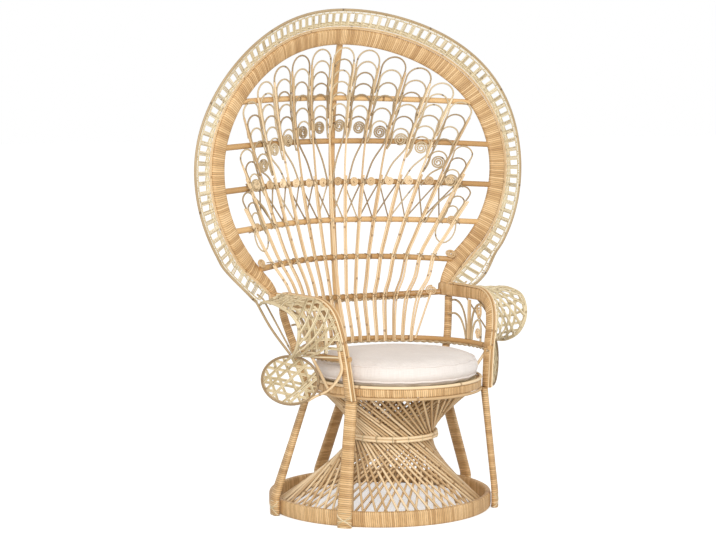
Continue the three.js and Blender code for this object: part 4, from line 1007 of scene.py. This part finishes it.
def across_at(index, z):
    """How far across a fan cane is at a height. The first one is half a pitch from the middle."""
    pitches = index - 0.5
    if z <= LOW_RAIL:
        seat = STEM_CIRCLE * MM * math.sin(pitches * 27 / STEM_CIRCLE)
        return mix(seat, pitches * 31 * MM, (z - SEAT_RAIL) / (LOW_RAIL - SEAT_RAIL))
    if z <= FIFTH_RAIL:
        return pitches * mix(31, 40, (z - LOW_RAIL) / (FIFTH_RAIL - LOW_RAIL)) * MM
    return pitches * PITCH + (0.075 * pitches + 0.001 * pitches ** 2) * (z - FIFTH_RAIL)


def in_arch(x, z):
    """1 on the line inside the arch that the scallops press against."""
    above = z - FAN_CENTRE
    fall = (FAN_RISE if above > 0 else FAN_DROP) - SCALLOP_INSET
    return math.hypot(x / (FAN_HALF - SCALLOP_INSET), above / fall)


def pressed(x, z, lift):
    """A place on the sheet, moved in where it would run into the arch."""
    share = max(1.0, in_arch(x, z))
    return on_sheet(x / share, FAN_CENTRE + (z - FAN_CENTRE) / share, lift)


def crown_height(bay):
    """The height of the outermost scallop of a bay. The last two bays end at the side of the arch."""
    if bay >= 6:
        return (1073 if bay == 6 else 947) * MM
    low, high = FAN_CENTRE, FAN_CENTRE + FAN_RISE
    for _ in range(40):
        middle = (low + high) / 2
        x = (across_at(bay, middle) + across_at(bay + 1, middle)) / 2 if bay else 0
        low, high = (middle, high) if in_arch(x, middle) < 1 else (low, middle)
    return low


def cane_top(index):
    return crown_height(index - 1) - 50 * MM


print("crowns:", [round(crown_height(bay), 3) for bay in range(FAN_CANES)])

# %% Stems and discs


def spiral(centre_x, centre_z, outer, turns, pitch, start=0.0):
    """Places on a flat coil on the sheet, from its outside in."""
    line = []
    for number in range(round(turns * 16) + 1):
        turn = start + 2 * math.pi * number / 16
        reach = outer - pitch * number / 16
        line.append((centre_x + reach * math.cos(turn), centre_z + reach * math.sin(turn), LIFT))
    return line


def disc(bm, x, z, outer=14 * MM):
    places = spiral(x, z, outer, 2.8, 4.6 * MM, chance.uniform(0, 6))
    cane(bm, [on_sheet(*place) for place in places], 2.4 * MM)


def stem(bm, index):
    """Two thin canes side by side, from the seat rail up. The second one stops at the third rail."""
    seat = across_at(index, SEAT_RAIL)
    back = STEM_CIRCLE * MM * math.cos((index - 0.5) * 27 / STEM_CIRCLE) - SEAT_FORWARD
    for side in (-1, 1):
        end = cane_top(index) if side < 0 else min(cane_top(index), THIRD_RAIL + 20 * MM)
        heights = [z * MM for z in (607, 660, 731, 790, 846, 905) if z * MM < end - 20 * MM]
        count = max(1, round((end - heights[-1]) / (70 * MM)))
        heights += [mix(heights[-1], end, (number + 1) / count) for number in range(count)]
        pegs = [Vector((seat + side * 3.2 * MM, back, SEAT_RAIL + rise * MM)) for rise in (-9, 12)]
        for z in heights:
            x = across_at(index, z) + (side * 3.2 + chance.uniform(-0.7, 0.7)) * MM
            pegs.append(on_sheet(x, z, LIFT - 0.4 * MM))
        cane(bm, smooth(pegs, 16 * MM), (3.3 if side < 0 else 3.1) * MM)


# %% Scallops and curls


def scallop(bm, crown, floor, tuck, lift, near, far):
    """One arched cane over a bay. Its legs run down beside the stems."""
    rise = (far(crown - 36 * MM) - near(crown - 36 * MM)) / 2 - tuck
    spring = crown - rise
    low_leg = max(spring - 74 * MM, floor)
    high_leg = (low_leg + spring) / 2
    pegs = [pressed(near(low_leg) - 2 * MM, low_leg, lift - 3 * MM),
            pressed(near(high_leg) + tuck, high_leg, lift - 1 * MM)]
    left, right = near(spring) + tuck, far(spring) - tuck
    for number in range(9):
        turn = math.pi * number / 8
        pegs.append(pressed(mix(left, right, (1 - math.cos(turn)) / 2), spring + rise * math.sin(turn), lift))
    pegs += [pressed(far(high_leg) - tuck, high_leg, lift - 1 * MM),
             pressed(far(low_leg) + 2 * MM, low_leg, lift - 3 * MM)]
    cane(bm, smooth(pegs, 9 * MM), 2.6 * MM, look=1)


def bay_canes(bm, crown, curl, near, far, root=THIRD_RAIL):
    """A bay above its root, a rail: nested scallops and the cane that rises into the curl."""
    rows = max(2, round((crown - curl - 40 * MM) / (36 * MM)) + 1)
    for row in range(rows):
        z = mix(crown, curl + 38 * MM, row / (rows - 1)) - 2.6 * MM
        tuck = (1.5 + 2.4 * (row % 3)) * MM
        scallop(bm, z, curl - 30 * MM, tuck, LIFT + (1.4 if row % 2 else -1.2) * MM, near, far)
    if not root:
        return
    outer = min((far(curl) - near(curl)) / 2 - 4 * MM, 20 * MM)
    middle = (near(curl) + far(curl)) / 2 + 3 * MM
    rise = curl - root
    lead = [(near(root) + 2 * MM, root - 12 * MM, LIFT - 1 * MM),
            (mix(near(root), middle + outer, 0.42), root + 0.4 * rise, LIFT - 1 * MM),
            (middle + outer - 2 * MM, root + 0.82 * rise, LIFT)]
    line = lead + spiral(middle, curl, outer, 2.6, 6.1 * MM)
    cane(bm, smooth([on_sheet(*place) for place in line], 7 * MM), 2.8 * MM, look=1)


# %% Ties and crossings


def tie(bm, x, z):
    """A thin strip crossed over a stem where it passes a rail."""
    for way in (-1, 1):
        places = [(x + reach * MM, z + way * reach * MM, lift)
                  for reach, lift in ((-9, 3 * MM), (-5, LIFT + 3 * MM), (5, LIFT + 3 * MM), (9, 3 * MM))]
        cane(bm, [on_sheet(*place) for place in places], 1.5 * MM, 4, look=1)


def crossing(bm, low_x, high_x, lift):
    """A thin cane that slants from the fourth rail to the third."""
    line = [on_sheet(mix(low_x, high_x, share), mix(FOURTH_RAIL, THIRD_RAIL, share), lift)
            for share in np.linspace(-0.08, 1.05, 9)]
    cane(bm, line, 2.4 * MM, look=1)


# %% Fan canes
OUTER_DISCS = ((345, 727), (266, 624), (354, 838))
U_LOOP = ((368, 838), (364, 806), (350, 780), (330, 768), (312, 777), (307, 802), (318, 832), (332, 862))
left = bmesh.new()
for index in range(1, FAN_CANES + 1):
    stem(left, index)
for index in range(1, FAN_CANES + 1):
    for height in (LOW_RAIL, FIFTH_RAIL, FOURTH_RAIL, THIRD_RAIL):
        x = across_at(index, height)
        if cane_top(index) >= height:
            tie(left, x, height + (13 if height == LOW_RAIL else -14) * MM * (x / (400 * MM)) ** 2)
for bay in range(1, FAN_CANES):
    def near(z, bay=bay):
        return across_at(bay, z) + 4 * MM

    def far(z, bay=bay):
        return across_at(bay + 1, z) - 4 * MM

    curl = CURL_HEIGHTS[bay] * MM if bay < 7 else 848 * MM
    bay_canes(left, crown_height(bay), curl, near, far, {6: FOURTH_RAIL, 7: None}.get(bay, THIRD_RAIL))
for bay in range(1, FAN_CANES - 1):
    crossing(left, across_at(bay, FOURTH_RAIL), across_at(bay + 1, THIRD_RAIL), 5 * MM)
    crossing(left, across_at(bay + 1, FOURTH_RAIL), across_at(bay, THIRD_RAIL), 1 * MM)
    disc(left, (across_at(bay, THIRD_RAIL) + across_at(bay + 1, THIRD_RAIL)) / 2, THIRD_RAIL + 1 * MM)
for x, z in OUTER_DISCS:
    disc(left, x * MM, z * MM, 15 * MM)
slanted = [Vector((192 * MM, 92 * MM, SEAT_RAIL)), on_sheet(264 * MM, 616 * MM, LIFT)]
cane(left, even(slanted, 12 * MM), 3.1 * MM)
cane(left, smooth([on_sheet(x * MM, z * MM, LIFT) for x, z in U_LOOP], 8 * MM), 2.4 * MM, look=1)
finish_pair("fan_canes_and_scallops", left, [ROUND, SKIN], "rattan", "fan_canes")

# %% Middle bay
bm = bmesh.new()
bay_canes(bm, crown_height(0), CURL_HEIGHTS[0] * MM,
          lambda z: 4 * MM - across_at(1, z), lambda z: across_at(1, z) - 4 * MM)
crossing(bm, -across_at(1, FOURTH_RAIL), across_at(1, THIRD_RAIL), 5 * MM)
crossing(bm, across_at(1, FOURTH_RAIL), -across_at(1, THIRD_RAIL), 1 * MM)
disc(bm, 0, THIRD_RAIL + 1 * MM)
finish("fan_middle_bay", bm, [ROUND, SKIN], "rattan", ["fan_scallop_middle"])

# %% [markdown]
# ## Arms
# Each arm is a flat wound band that leaves the neck of the fan, runs forward level and turns down to the
# front leg. Three thin canes lie side by side along its top and front, and a wound post stands at the rear.
# The bend is set by a few shares of the arm's own length, depth and drop, which is how a maker sets a jig,
# and the smooth line helper rounds it.

# %% Arm line
ARM_SHARES = ((0, 0, 0), (0, 0.28, 0), (0.12, 0.57, 0), (0.3, 0.79, 0.03), (0.49, 0.92, 0.2),
              (0.72, 0.98, 0.54), (1, 1, 1))
ARM_STEP = 11 * MM


def arm_line(step):
    pegs = [Vector((ARM_REACH - inward * 43 * MM, mix(108, -203, forward) * MM,
                    mix(628 * MM, SEAT_RAIL, down))) for inward, forward, down in ARM_SHARES]
    pegs.append(around(269 * MM, 63, 361.9 * MM, SEAT_FORWARD))
    return smooth(pegs, step)


def arm_stations(step):
    """The stations of the arm's band: place, across, through, half width and half thickness."""
    line = arm_line(step)
    side = Vector((1, 0, 0))
    stations = []
    for number, place in enumerate(line):
        if number == len(line) - 1:
            run = Vector((0, 0, -1))
        else:
            run = (line[number + 1] - line[max(0, number - 1)]).normalized()
        half = mix(20, 15, number / (len(line) - 1)) * MM
        stations.append((place, run.cross(side).normalized(), side, half, 9 * MM))
    return stations


# %% Bow, edge canes and rear post
bm = bmesh.new()
band(bm, arm_stations(ARM_STEP), square=0.6)
finish_pair("wound_arm_bow", bm, [WOUND], "wrapped_rattan", "arm_bow")
bm = bmesh.new()
for offset in (-6.2, 0, 6.2):
    line = [place + across * (half + 2.8 * MM) + Vector((offset * MM, 0, 0))
            for place, across, side, half, depth in arm_stations(ARM_STEP) if place.y < 60 * MM]
    cane(bm, line, 2.7 * MM, look=int(offset == 0))
finish_pair("arm_edge_trio", bm, [ROUND, POLE], "rattan", "arm_edge_canes")
bm = bmesh.new()
pegs = [around(reach * MM, 115, height * MM, SEAT_FORWARD)
        for reach, height in ((265.55, 361.9), (265.55, 376), (300, 480))]
pegs += [Vector((ARM_REACH, 64 * MM, height * MM)) for height in (590, 608)]
cane(bm, smooth(pegs, 10 * MM), 11.8 * MM, 10)
finish_pair("wound_rear_arm_post", bm, [WOUND], "wrapped_rattan", "rear_arm_post")

# %% [markdown]
# ## Arches inside the arm
# Between the arm and the seat rail stands a pair of straight canes, with arched canes leaning away on both
# sides like leaves, and two small coils. They were drawn flat in shares of the panel's length and
# height, and one function lays the flat drawing between the rail and the arm, whose feet don't lie in one
# plane.

# %% Arches inside the arm
ARM_ARCHES = (
    ((1.18, 0.9), (0.98, 0.93), (0.78, 0.82), (0.63, 0.52), (0.56, 0)),
    ((1.18, 0.56), (0.98, 0.6), (0.8, 0.5), (0.67, 0.27), (0.6, 0)),
    ((0.44, 0), (0.4, 0.5), (0.31, 0.78), (0.16, 0.93), (0.02, 0.9)),
    ((0.4, 0), (0.36, 0.28), (0.27, 0.47), (0.15, 0.52), (0.06, 0.38), (0.03, 0)))


def arm_panel(along, upward):
    foot = around(SEAT_RAIL_RADIUS, mix(80, 108, along), 488.3 * MM, SEAT_FORWARD)
    top = Vector((mix(275.5, 297, along) * MM, mix(-150, 26, along) * MM, 607.7 * MM))
    return foot.lerp(top, upward)


bm = bmesh.new()
for side in (-1, 1):
    cane(bm, [arm_panel(0.5 + side * 0.022, share) for share in np.linspace(0, 1, 9)], 3.7 * MM)
for arch in ARM_ARCHES:
    cane(bm, smooth([arm_panel(*place) for place in arch], 9 * MM), 3.3 * MM, look=1)
for along, upward, tall in ((0.15, 0.72, 1.5), (0.16, 0.17, 1)):
    coil = []
    for number in range(36):
        turn = 2 * math.pi * number / 16
        reach = 0.095 * (1 - number / 44)
        coil.append(arm_panel(along + reach * math.cos(turn), upward + 1.5 * tall * reach * math.sin(turn)))
    cane(bm, coil, 2.3 * MM)
finish_pair("arm_arches", bm, [ROUND, SKIN], "rattan", "arm_scrolls")

# %% [markdown]
# ## Side hoops
# Under each wing stands an upright woven hoop, turned outward. Two canes make its ring, and split cane is
# woven across it in three directions, which leaves small triangles and stars. A cut sheet would have no
# strands that pass over one another, so each strand is a nearly straight chord of the hoop, with a slight
# random shift because such weaving is done by eye.

# %% Side hoop's ring
OUTWARD = Vector((math.sin(SIDE_HOOP_TURN), -math.cos(SIDE_HOOP_TURN), 0))
bm = bmesh.new()
for shrink, depth in ((0, 2.4), (2.4, -2.4)):
    ring = [hoop_place((84 - shrink) * MM * math.cos(turn), (70 - shrink) * MM * math.sin(turn))
            + OUTWARD * depth * MM for turn in circle(48)]
    cane(bm, ring, 3.4 * MM, closed=True)
finish_pair("side_hoop_ring", bm, [SKIN], "rattan", "side_hoop")

# %% Side hoop's weaving
STRAND_GAP = 0.35


def strip(bm, line, facing):
    """A flat strip of weaving: two thin canes side by side. Facing gives the way it lies at each place."""
    for side in (-1, 1):
        path = []
        for number, place in enumerate(line):
            run = line[min(number + 1, len(line) - 1)] - line[max(number - 1, 0)]
            path.append(place + run.cross(facing[number]).normalized() * (side * 2.1 * MM))
        cane(bm, path, 2.2 * MM, 4)


bm = bmesh.new()
for way in range(3):
    slope = math.radians(60 * way + 12)
    for number in range(-2, 3):
        shift = number * STRAND_GAP + chance.uniform(-0.1, 0.1)
        half = math.sqrt(1 - shift * shift) if abs(shift) < 1 else 0
        if half < 0.2:
            continue
        bend = chance.uniform(-0.06, 0.06)
        line = []
        for step in range(9):
            end = mix(-half, half, step / 8)
            off = shift + bend * (1 - (end / half) ** 2)
            across = end * math.cos(slope) - off * math.sin(slope)
            upward = end * math.sin(slope) + off * math.cos(slope)
            over = ((way - 1) * 1.3 + (0.8 if step % 2 else -0.8)) * MM
            line.append(hoop_place(across * 79 * MM, upward * 65 * MM) + OUTWARD * over)
        strip(bm, line, [OUTWARD] * len(line))
finish_pair("side_hoop_weaving", bm, [PALE], "split_cane", "side_hoop_lattice")

# %% [markdown]
# ## Wings
# A woven flap flares out from each arm to its own rim. Its surface is stretched between two lines: the outer
# side of the arm's edge canes and the wing's rim. Strands run along it and slant across it both ways, so the
# openings are small triangles and stars again. A sheet in that shape could carry a drawn weave, but its holes
# have to be real where the chair is seen through it.

# %% Wing rim
RIM_SHARES = ((1, 0.25, 1), (1, 0.48, 0.99), (0.95, 0.72, 0.93), (0.81, 0.88, 0.84), (0.67, 1, 0.66),
              (0.62, 0.99, 0.41), (0.53, 0.84, 0.15), (0.31, 0.6, 0))
rim_pegs = [border_point(BORDER_END, 79.8 * MM)]
rim_pegs += [Vector((mix(SIDE_HOOP_REACH, 420 * MM, out), -forward * 195 * MM, mix(484, 639, rise) * MM))
             for out, forward, rise in RIM_SHARES]
rim_line = smooth(rim_pegs + [hoop_place(0, 70 * MM)], 6 * MM)
bm = bmesh.new()
cane(bm, rim_line[::2], 3.9 * MM, 8)
finish_pair("wing_rim_cane", bm, [PALE], "rattan", "wing_rim")

# %% Wing surface
inner_pegs = [Vector((331.5 * MM, 60 * MM, ARM_TOP))]
for place, across, side, half, depth in arm_stations(15 * MM):
    edge = place + across * (half + 3 * MM) + Vector((9.6 * MM, 0, 0))
    if place.y < 60 * MM and edge.z > 500 * MM:
        inner_pegs.append(edge)
inner_line = smooth(inner_pegs, 3 * MM)


def along_line(line, share):
    where = min(max(share, 0.0), 1.0) * (len(line) - 1)
    number = min(int(where), len(line) - 2)
    return line[number].lerp(line[number + 1], where - number)


def wing(u, v):
    """A place on the wing: u runs from the fan to the hoop, v from the arm to the rim."""
    inner = along_line(inner_line, mix(0.03, 1, u))
    outer = along_line(rim_line, mix(0.06, 0.96, u))
    reach = (outer - inner).length - 3.5 * MM
    sag = -3 * MM * math.sin(math.pi * v) - 2.5 * MM * (1 - v)
    return inner + (outer - inner).normalized() * (v * reach) + Vector((0, -0.3, 1)) * sag


def wing_facing(u, v):
    length = wing(u + 0.01, v) - wing(u - 0.01, v)
    width = wing(u, v + 0.02) - wing(u, v - 0.02)
    return length.cross(width).normalized()


def wing_strip(bm, places, over):
    """Lay a strip on the wing through places (u, v), a little over or under its surface."""
    facing = [wing_facing(u, v) for u, v in places]
    line = [wing(u, v) + way * ((over + (0.9 if number % 2 else -0.9)) * MM)
            for number, ((u, v), way) in enumerate(zip(places, facing))]
    strip(bm, line, facing)


print("the wing's width half way:", round((wing(0.5, 1) - wing(0.5, 0)).length, 3))

# %% Wing weaving
bm = bmesh.new()
for row in range(5):
    v = 0.05 + 0.9 * row / 4
    sway = chance.uniform(0, 6)
    wing_strip(bm, [(u, v + 0.03 * math.sin(u * 11 + sway)) for u in np.linspace(0, 1, 34)], 0)
for way in (-1, 1):
    for number in range(-2, 13):
        start = (number + 0.5 * (way > 0)) / 11 + chance.uniform(-0.014, 0.014)
        bend = chance.uniform(-0.02, 0.02)
        places = [(start + way * 0.2 * (v - 0.5) + bend * math.sin(math.pi * v), v)
                  for v in np.linspace(0.01, 0.99, 12)]
        places = [place for place in places if 0 <= place[0] <= 1]
        if len(places) > 3:
            wing_strip(bm, places, way * 1.6)
finish_pair("wing_weaving", bm, [PALE], "split_cane", "wing_lattice")

# %% [markdown]
# ## Stays
# Short canes tie the side hoop to the chair: a pair under the wing, one pair that bends from the arm's front
# to the foot of the hoop, and one from there to the seat hoop. They are canes like the others, and each end
# is taken from the piece that it is tied to, so that it stays on it.

# %% Stays
arm_front = arm_line(4 * MM)
arm_front = arm_front[len(arm_front) // 3:]


def arm_at(height):
    return min(arm_front, key=lambda place: abs(place.z - height * MM))


hoop_crown = hoop_place(0, 70 * MM)
bm = bmesh.new()
for side in (-1, 1):
    ends = [hoop_place(side * 4 * MM, 70 * MM), arm_at(484) + Vector((8 * MM, side * 3 * MM, 0))]
    cane(bm, even(ends, 14 * MM), 2.4 * MM)
finish_pair("wing_foot_pair", bm, [PALE], "rattan", "wing_foot_cane")

foot_turn = math.radians(233)
foot = hoop_place(84 * MM * math.cos(foot_turn), 70 * MM * math.sin(foot_turn))
bm = bmesh.new()
for side in (-1, 1):
    pegs = [arm_at(height) + Vector((reach * MM, side * 3 * MM, 0))
            for height, reach in ((530, 10), (485, 12), (448, 13))]
    pegs += [pegs[-1].lerp(foot, share) - Vector((0, 0, drop * MM))
             for share, drop in ((0.2, 20), (0.45, 22), (0.75, 10))]
    cane(bm, smooth(pegs + [foot + Vector((0, 0, side * 3 * MM))], 10 * MM), 3.3 * MM)
finish_pair("arm_stay_canes", bm, [ROUND], "rattan", "arm_stay")

bm = bmesh.new()
ends = [hoop_crown.lerp(arm_at(484), 0.42) - Vector((0, 0, 4 * MM)),
        around(252 * MM, 85, 383 * MM, SEAT_FORWARD)]
cane(bm, even(ends, 14 * MM), 4.6 * MM, 8)
finish_pair("seat_stay_cane", bm, [ROUND], "rattan", "seat_stay")

# %% [markdown]
# ## Seat under the cushion
# The cushion hides the seat, but it shows from below and when the cushion is lifted. Two poles carry a woven
# deck. The deck's solid has the right shape and stays, with a chequer weave drawn on Object coordinates
# because it has no map of its own.

# %% Seat poles
for name, side in (("front", -1), ("back", 1)):
    bm = bmesh.new()
    ends = [Vector((x, side * 80 * MM - SEAT_FORWARD, 380.5 * MM)) for x in (-219 * MM, 219 * MM)]
    cane(bm, even(ends, 16 * MM), 6.9 * MM, 10)
    finish(f"pole_under_seat_{name}", bm, [POLE], "rattan", [f"seat_pole_{name}"])

# %% Woven deck
CHEQUER = 9 * MM
deck_material, recipe, paint = new_finish("woven_deck")
across, along = recipe.split(recipe.add("TexCoord").outputs["Object"])
columns = recipe.maths("DIVIDE", across, CHEQUER)
rows = recipe.maths("DIVIDE", along, CHEQUER)
square = recipe.plus(recipe.maths("FLOOR", columns), recipe.maths("FLOOR", rows))
parity = recipe.maths("MODULO", recipe.maths("ABSOLUTE", square), 2.0)
chequer = recipe.add("Mix", data_type="FLOAT")
recipe.give(chequer.inputs["Factor"], parity)
for name, count in (("A", columns), ("B", rows)):
    ridge = recipe.maths("ABSOLUTE", recipe.maths("SINE", recipe.times(count, math.pi)))
    recipe.give(chequer.inputs[name], ridge)
strands = chequer.outputs["Result"]
# The low edges of every strand are coloured dark brown: painted shade in the gaps of the weave.
recipe.give(paint["Base Color"], recipe.ramp(strands, (0, 0.45), ((112, 84, 50), (222, 202, 160))))
recipe.give(paint["Normal"], recipe.bump(strands, 0.7, 1 * MM))
recipe.give(paint["Roughness"], 0.55)
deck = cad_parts["seat_deck"]
for holder in deck.material_slots:
    holder.material = deck_material
print("deck:", len(deck.material_slots), "slot with", deck_material.name)

# %% [markdown]
# ## Cushion cloth
# The cushion is covered in off-white linen. Cloth is a soft surface with a faint sheen: a plain weave of
# threads about a millimetre apart, a few thicker slub threads, and slow changes of tone. The pattern reads
# the cushion's own UV map, in metres, which is laid flat on the top and wrapped round the wall.

# %% Linen
THREAD = 1.3 * MM
weave, surface, result = new_group("linen_weave", ["Weave", "Slub", "Cloud"])
across, along = weave.split(surface)
waves = [weave.maths("ABSOLUTE", weave.maths("SINE", weave.times(axis, math.pi / THREAD)))
         for axis in (across, along)]
weave.give(result["Weave"], weave.times(*waves))
warp, weft = (weave.noise(weave.point(weave.times(across, fine), weave.times(along, coarse)), 1.0, 2)
              for fine, coarse in ((900.0, 26.0), (26.0, 900.0)))
weave.give(result["Slub"], weave.times(weave.plus(warp, weft), 0.5))
weave.give(result["Cloud"], weave.noise(surface, 11, 3))

linen, recipe, paint = new_finish("linen")
group = recipe.add("Group", node_tree=weave.tree)
recipe.give(group.inputs["Surface"], recipe.add("UVMap", uv_map="UVMap").outputs[0])
look = group.outputs
tone = recipe.plus(recipe.times(look["Slub"], 0.75), recipe.times(look["Cloud"], 0.25))
recipe.give(paint["Base Color"], recipe.ramp(tone, (0.3, 0.7), ((214, 203, 194), (240, 232, 225))))
recipe.give(paint["Roughness"], 0.92)
recipe.give(paint["Sheen Weight"], 0.25)
recipe.give(paint["Sheen Roughness"], 0.5)
recipe.give(paint["Normal"], recipe.bump(recipe.plus(look["Weave"], look["Slub"]), 0.35, 0.4 * MM))
print("linen:", len(weave.tree.nodes), "nodes in the weave")

# %% [markdown]
# ## Cushion
# The cushion is a stuffed disc with a wall between two piped seams. A bevelled cylinder would look hard, so
# its solid is copied, made slightly wider, remeshed evenly and blown up by a short cloth simulation. The top
# crowns and the wall swells the way stuffing makes it. How far a point may move is capped.

# %% Cushion's solid, evenly remeshed
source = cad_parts["cushion"]
cushion_low, cushion_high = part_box("cushion")
heart = (cushion_low + cushion_high) / 2
bm = bmesh.new()
bm.from_mesh(source.data)
bmesh.ops.remove_doubles(bm, verts=bm.verts, dist=1e-5)
bmesh.ops.recalc_face_normals(bm, faces=bm.faces)
for vert in bm.verts:
    for axis, scale in enumerate((1.008, 1.008, 0.99)):
        vert.co[axis] = heart[axis] + (vert.co[axis] - heart[axis]) * scale
mesh = bpy.data.meshes.new("stuffed_cushion")
bm.to_mesh(mesh)
bm.free()
cushion = bpy.data.objects.new("stuffed_cushion", mesh)
scene.collection.objects.link(cushion)


def apply_all(piece):
    """Bake a piece's modifiers into its mesh."""
    bpy.context.view_layer.update()
    depsgraph = bpy.context.evaluated_depsgraph_get()
    baked = bpy.data.meshes.new_from_object(piece.evaluated_get(depsgraph))
    piece.modifiers.clear()
    piece.data = baked


remesh = cushion.modifiers.new("even", "REMESH")
remesh.mode = "VOXEL"
remesh.voxel_size = 6 * MM
apply_all(cushion)
print("cushion:", len(cushion.data.vertices), "points")

# %% Cushion by cloth simulation
SIMULATED_FRAMES = 20
LARGEST_MOVE = 6 * MM
unstuffed = [vert.co.copy() for vert in cushion.data.vertices]
cloth = cushion.modifiers.new("stuffing", "CLOTH")
cloth.settings.use_pressure = True
cloth.settings.uniform_pressure_force = 4
cloth.settings.effector_weights.gravity = 0
cloth.settings.quality = 6
cloth.point_cache.frame_start = 1
cloth.point_cache.frame_end = SIMULATED_FRAMES
for number in range(1, SIMULATED_FRAMES + 1):
    scene.frame_set(number)
apply_all(cushion)
scene.frame_set(1)
capped = 0
for vert, place in zip(cushion.data.vertices, unstuffed):
    move = vert.co - place
    if move.length > LARGEST_MOVE:
        vert.co = place + move.normalized() * LARGEST_MOVE
        capped += 1
print("cushion:", capped, "points capped")

# %% [markdown]
# ## Cushion's seams
# Stuffing pulls the cover in at its two seams and leaves faint dents between them. A sculpting brush could do
# it, but a formula gives the same cushion on each run: the wall is pinched by up to 1.2 % near each seam, and
# a slow wave adds the dents. The piece never sinks into the seat.

# %% Seams, dents and map
TOP_SEAM = 456 * MM
LOW_SEAM = 412 * MM
WALL_REACH = 0.24
bm = bmesh.new()
bm.from_mesh(cushion.data)
for _ in range(2):
    bmesh.ops.smooth_vert(bm, verts=bm.verts, factor=0.5, use_axis_x=True, use_axis_y=True, use_axis_z=True)
for vert in bm.verts:
    flat = Vector((vert.co.x - heart.x, vert.co.y - heart.y))
    for seam in (TOP_SEAM, LOW_SEAM):
        if flat.length > 0.2:
            flat *= 1 - 0.012 * math.exp(-((vert.co.z - seam) / (6 * MM)) ** 2)
    dent = 0.6 * MM * math.sin(flat.x * 31 + 1) * math.sin(flat.y * 27)
    height = min(max(vert.co.z + dent, cushion_low.z), cushion_high.z + 2 * MM)
    vert.co = (heart.x + flat.x, heart.y + flat.y, height)
bmesh.ops.subdivide_edges(bm, edges=bm.edges, cuts=1, use_grid_fill=True, smooth=0.3)
uv = bm.loops.layers.uv.new("UVMap")
for face in bm.faces:
    middle = face.calc_center_median()
    turn = math.atan2(middle.y - heart.y, middle.x - heart.x)
    for corner in face.loops:
        place = corner.vert.co
        if abs(face.normal.z) > 0.6:
            corner[uv].uv = (place.x, place.y)
        else:
            angle = beside(math.atan2(place.y - heart.y, place.x - heart.x), turn)
            corner[uv].uv = (angle * WALL_REACH + 3, place.z)
cover = BVHTree.FromBMesh(bm)
bm.to_mesh(cushion.data)
bm.free()
cushion.data.materials.clear()
cushion.data.materials.append(linen)
cushion.data.polygons.foreach_set("use_smooth", [True] * len(cushion.data.polygons))
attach(cushion, "cushion")
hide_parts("cushion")

# %% [markdown]
# ## Piping
# A covered cord is sewn into each seam. On a fixed circle it would float off the soft wall here and there, so
# a ray is cast inwards from all round, and the cord lies where the ray meets the cover.

# %% Piping
bm = bmesh.new()
for height in (TOP_SEAM, LOW_SEAM):
    ring = []
    for number, turn in enumerate(circle(150)):
        out = Vector((math.cos(turn), math.sin(turn), 0))
        level = Vector((heart.x, heart.y, height + 0.8 * MM * math.sin(number * 0.9)))
        hit = cover.ray_cast(level + out * 0.4, -out)[0]
        ring.append(hit + out * 1.4 * MM - HOOP_MIDDLE)
    cane(bm, ring, 2.6 * MM, 8, closed=True)
finish("cushion_piping", bm, [linen], "cushion_cloth", [], "cushion")
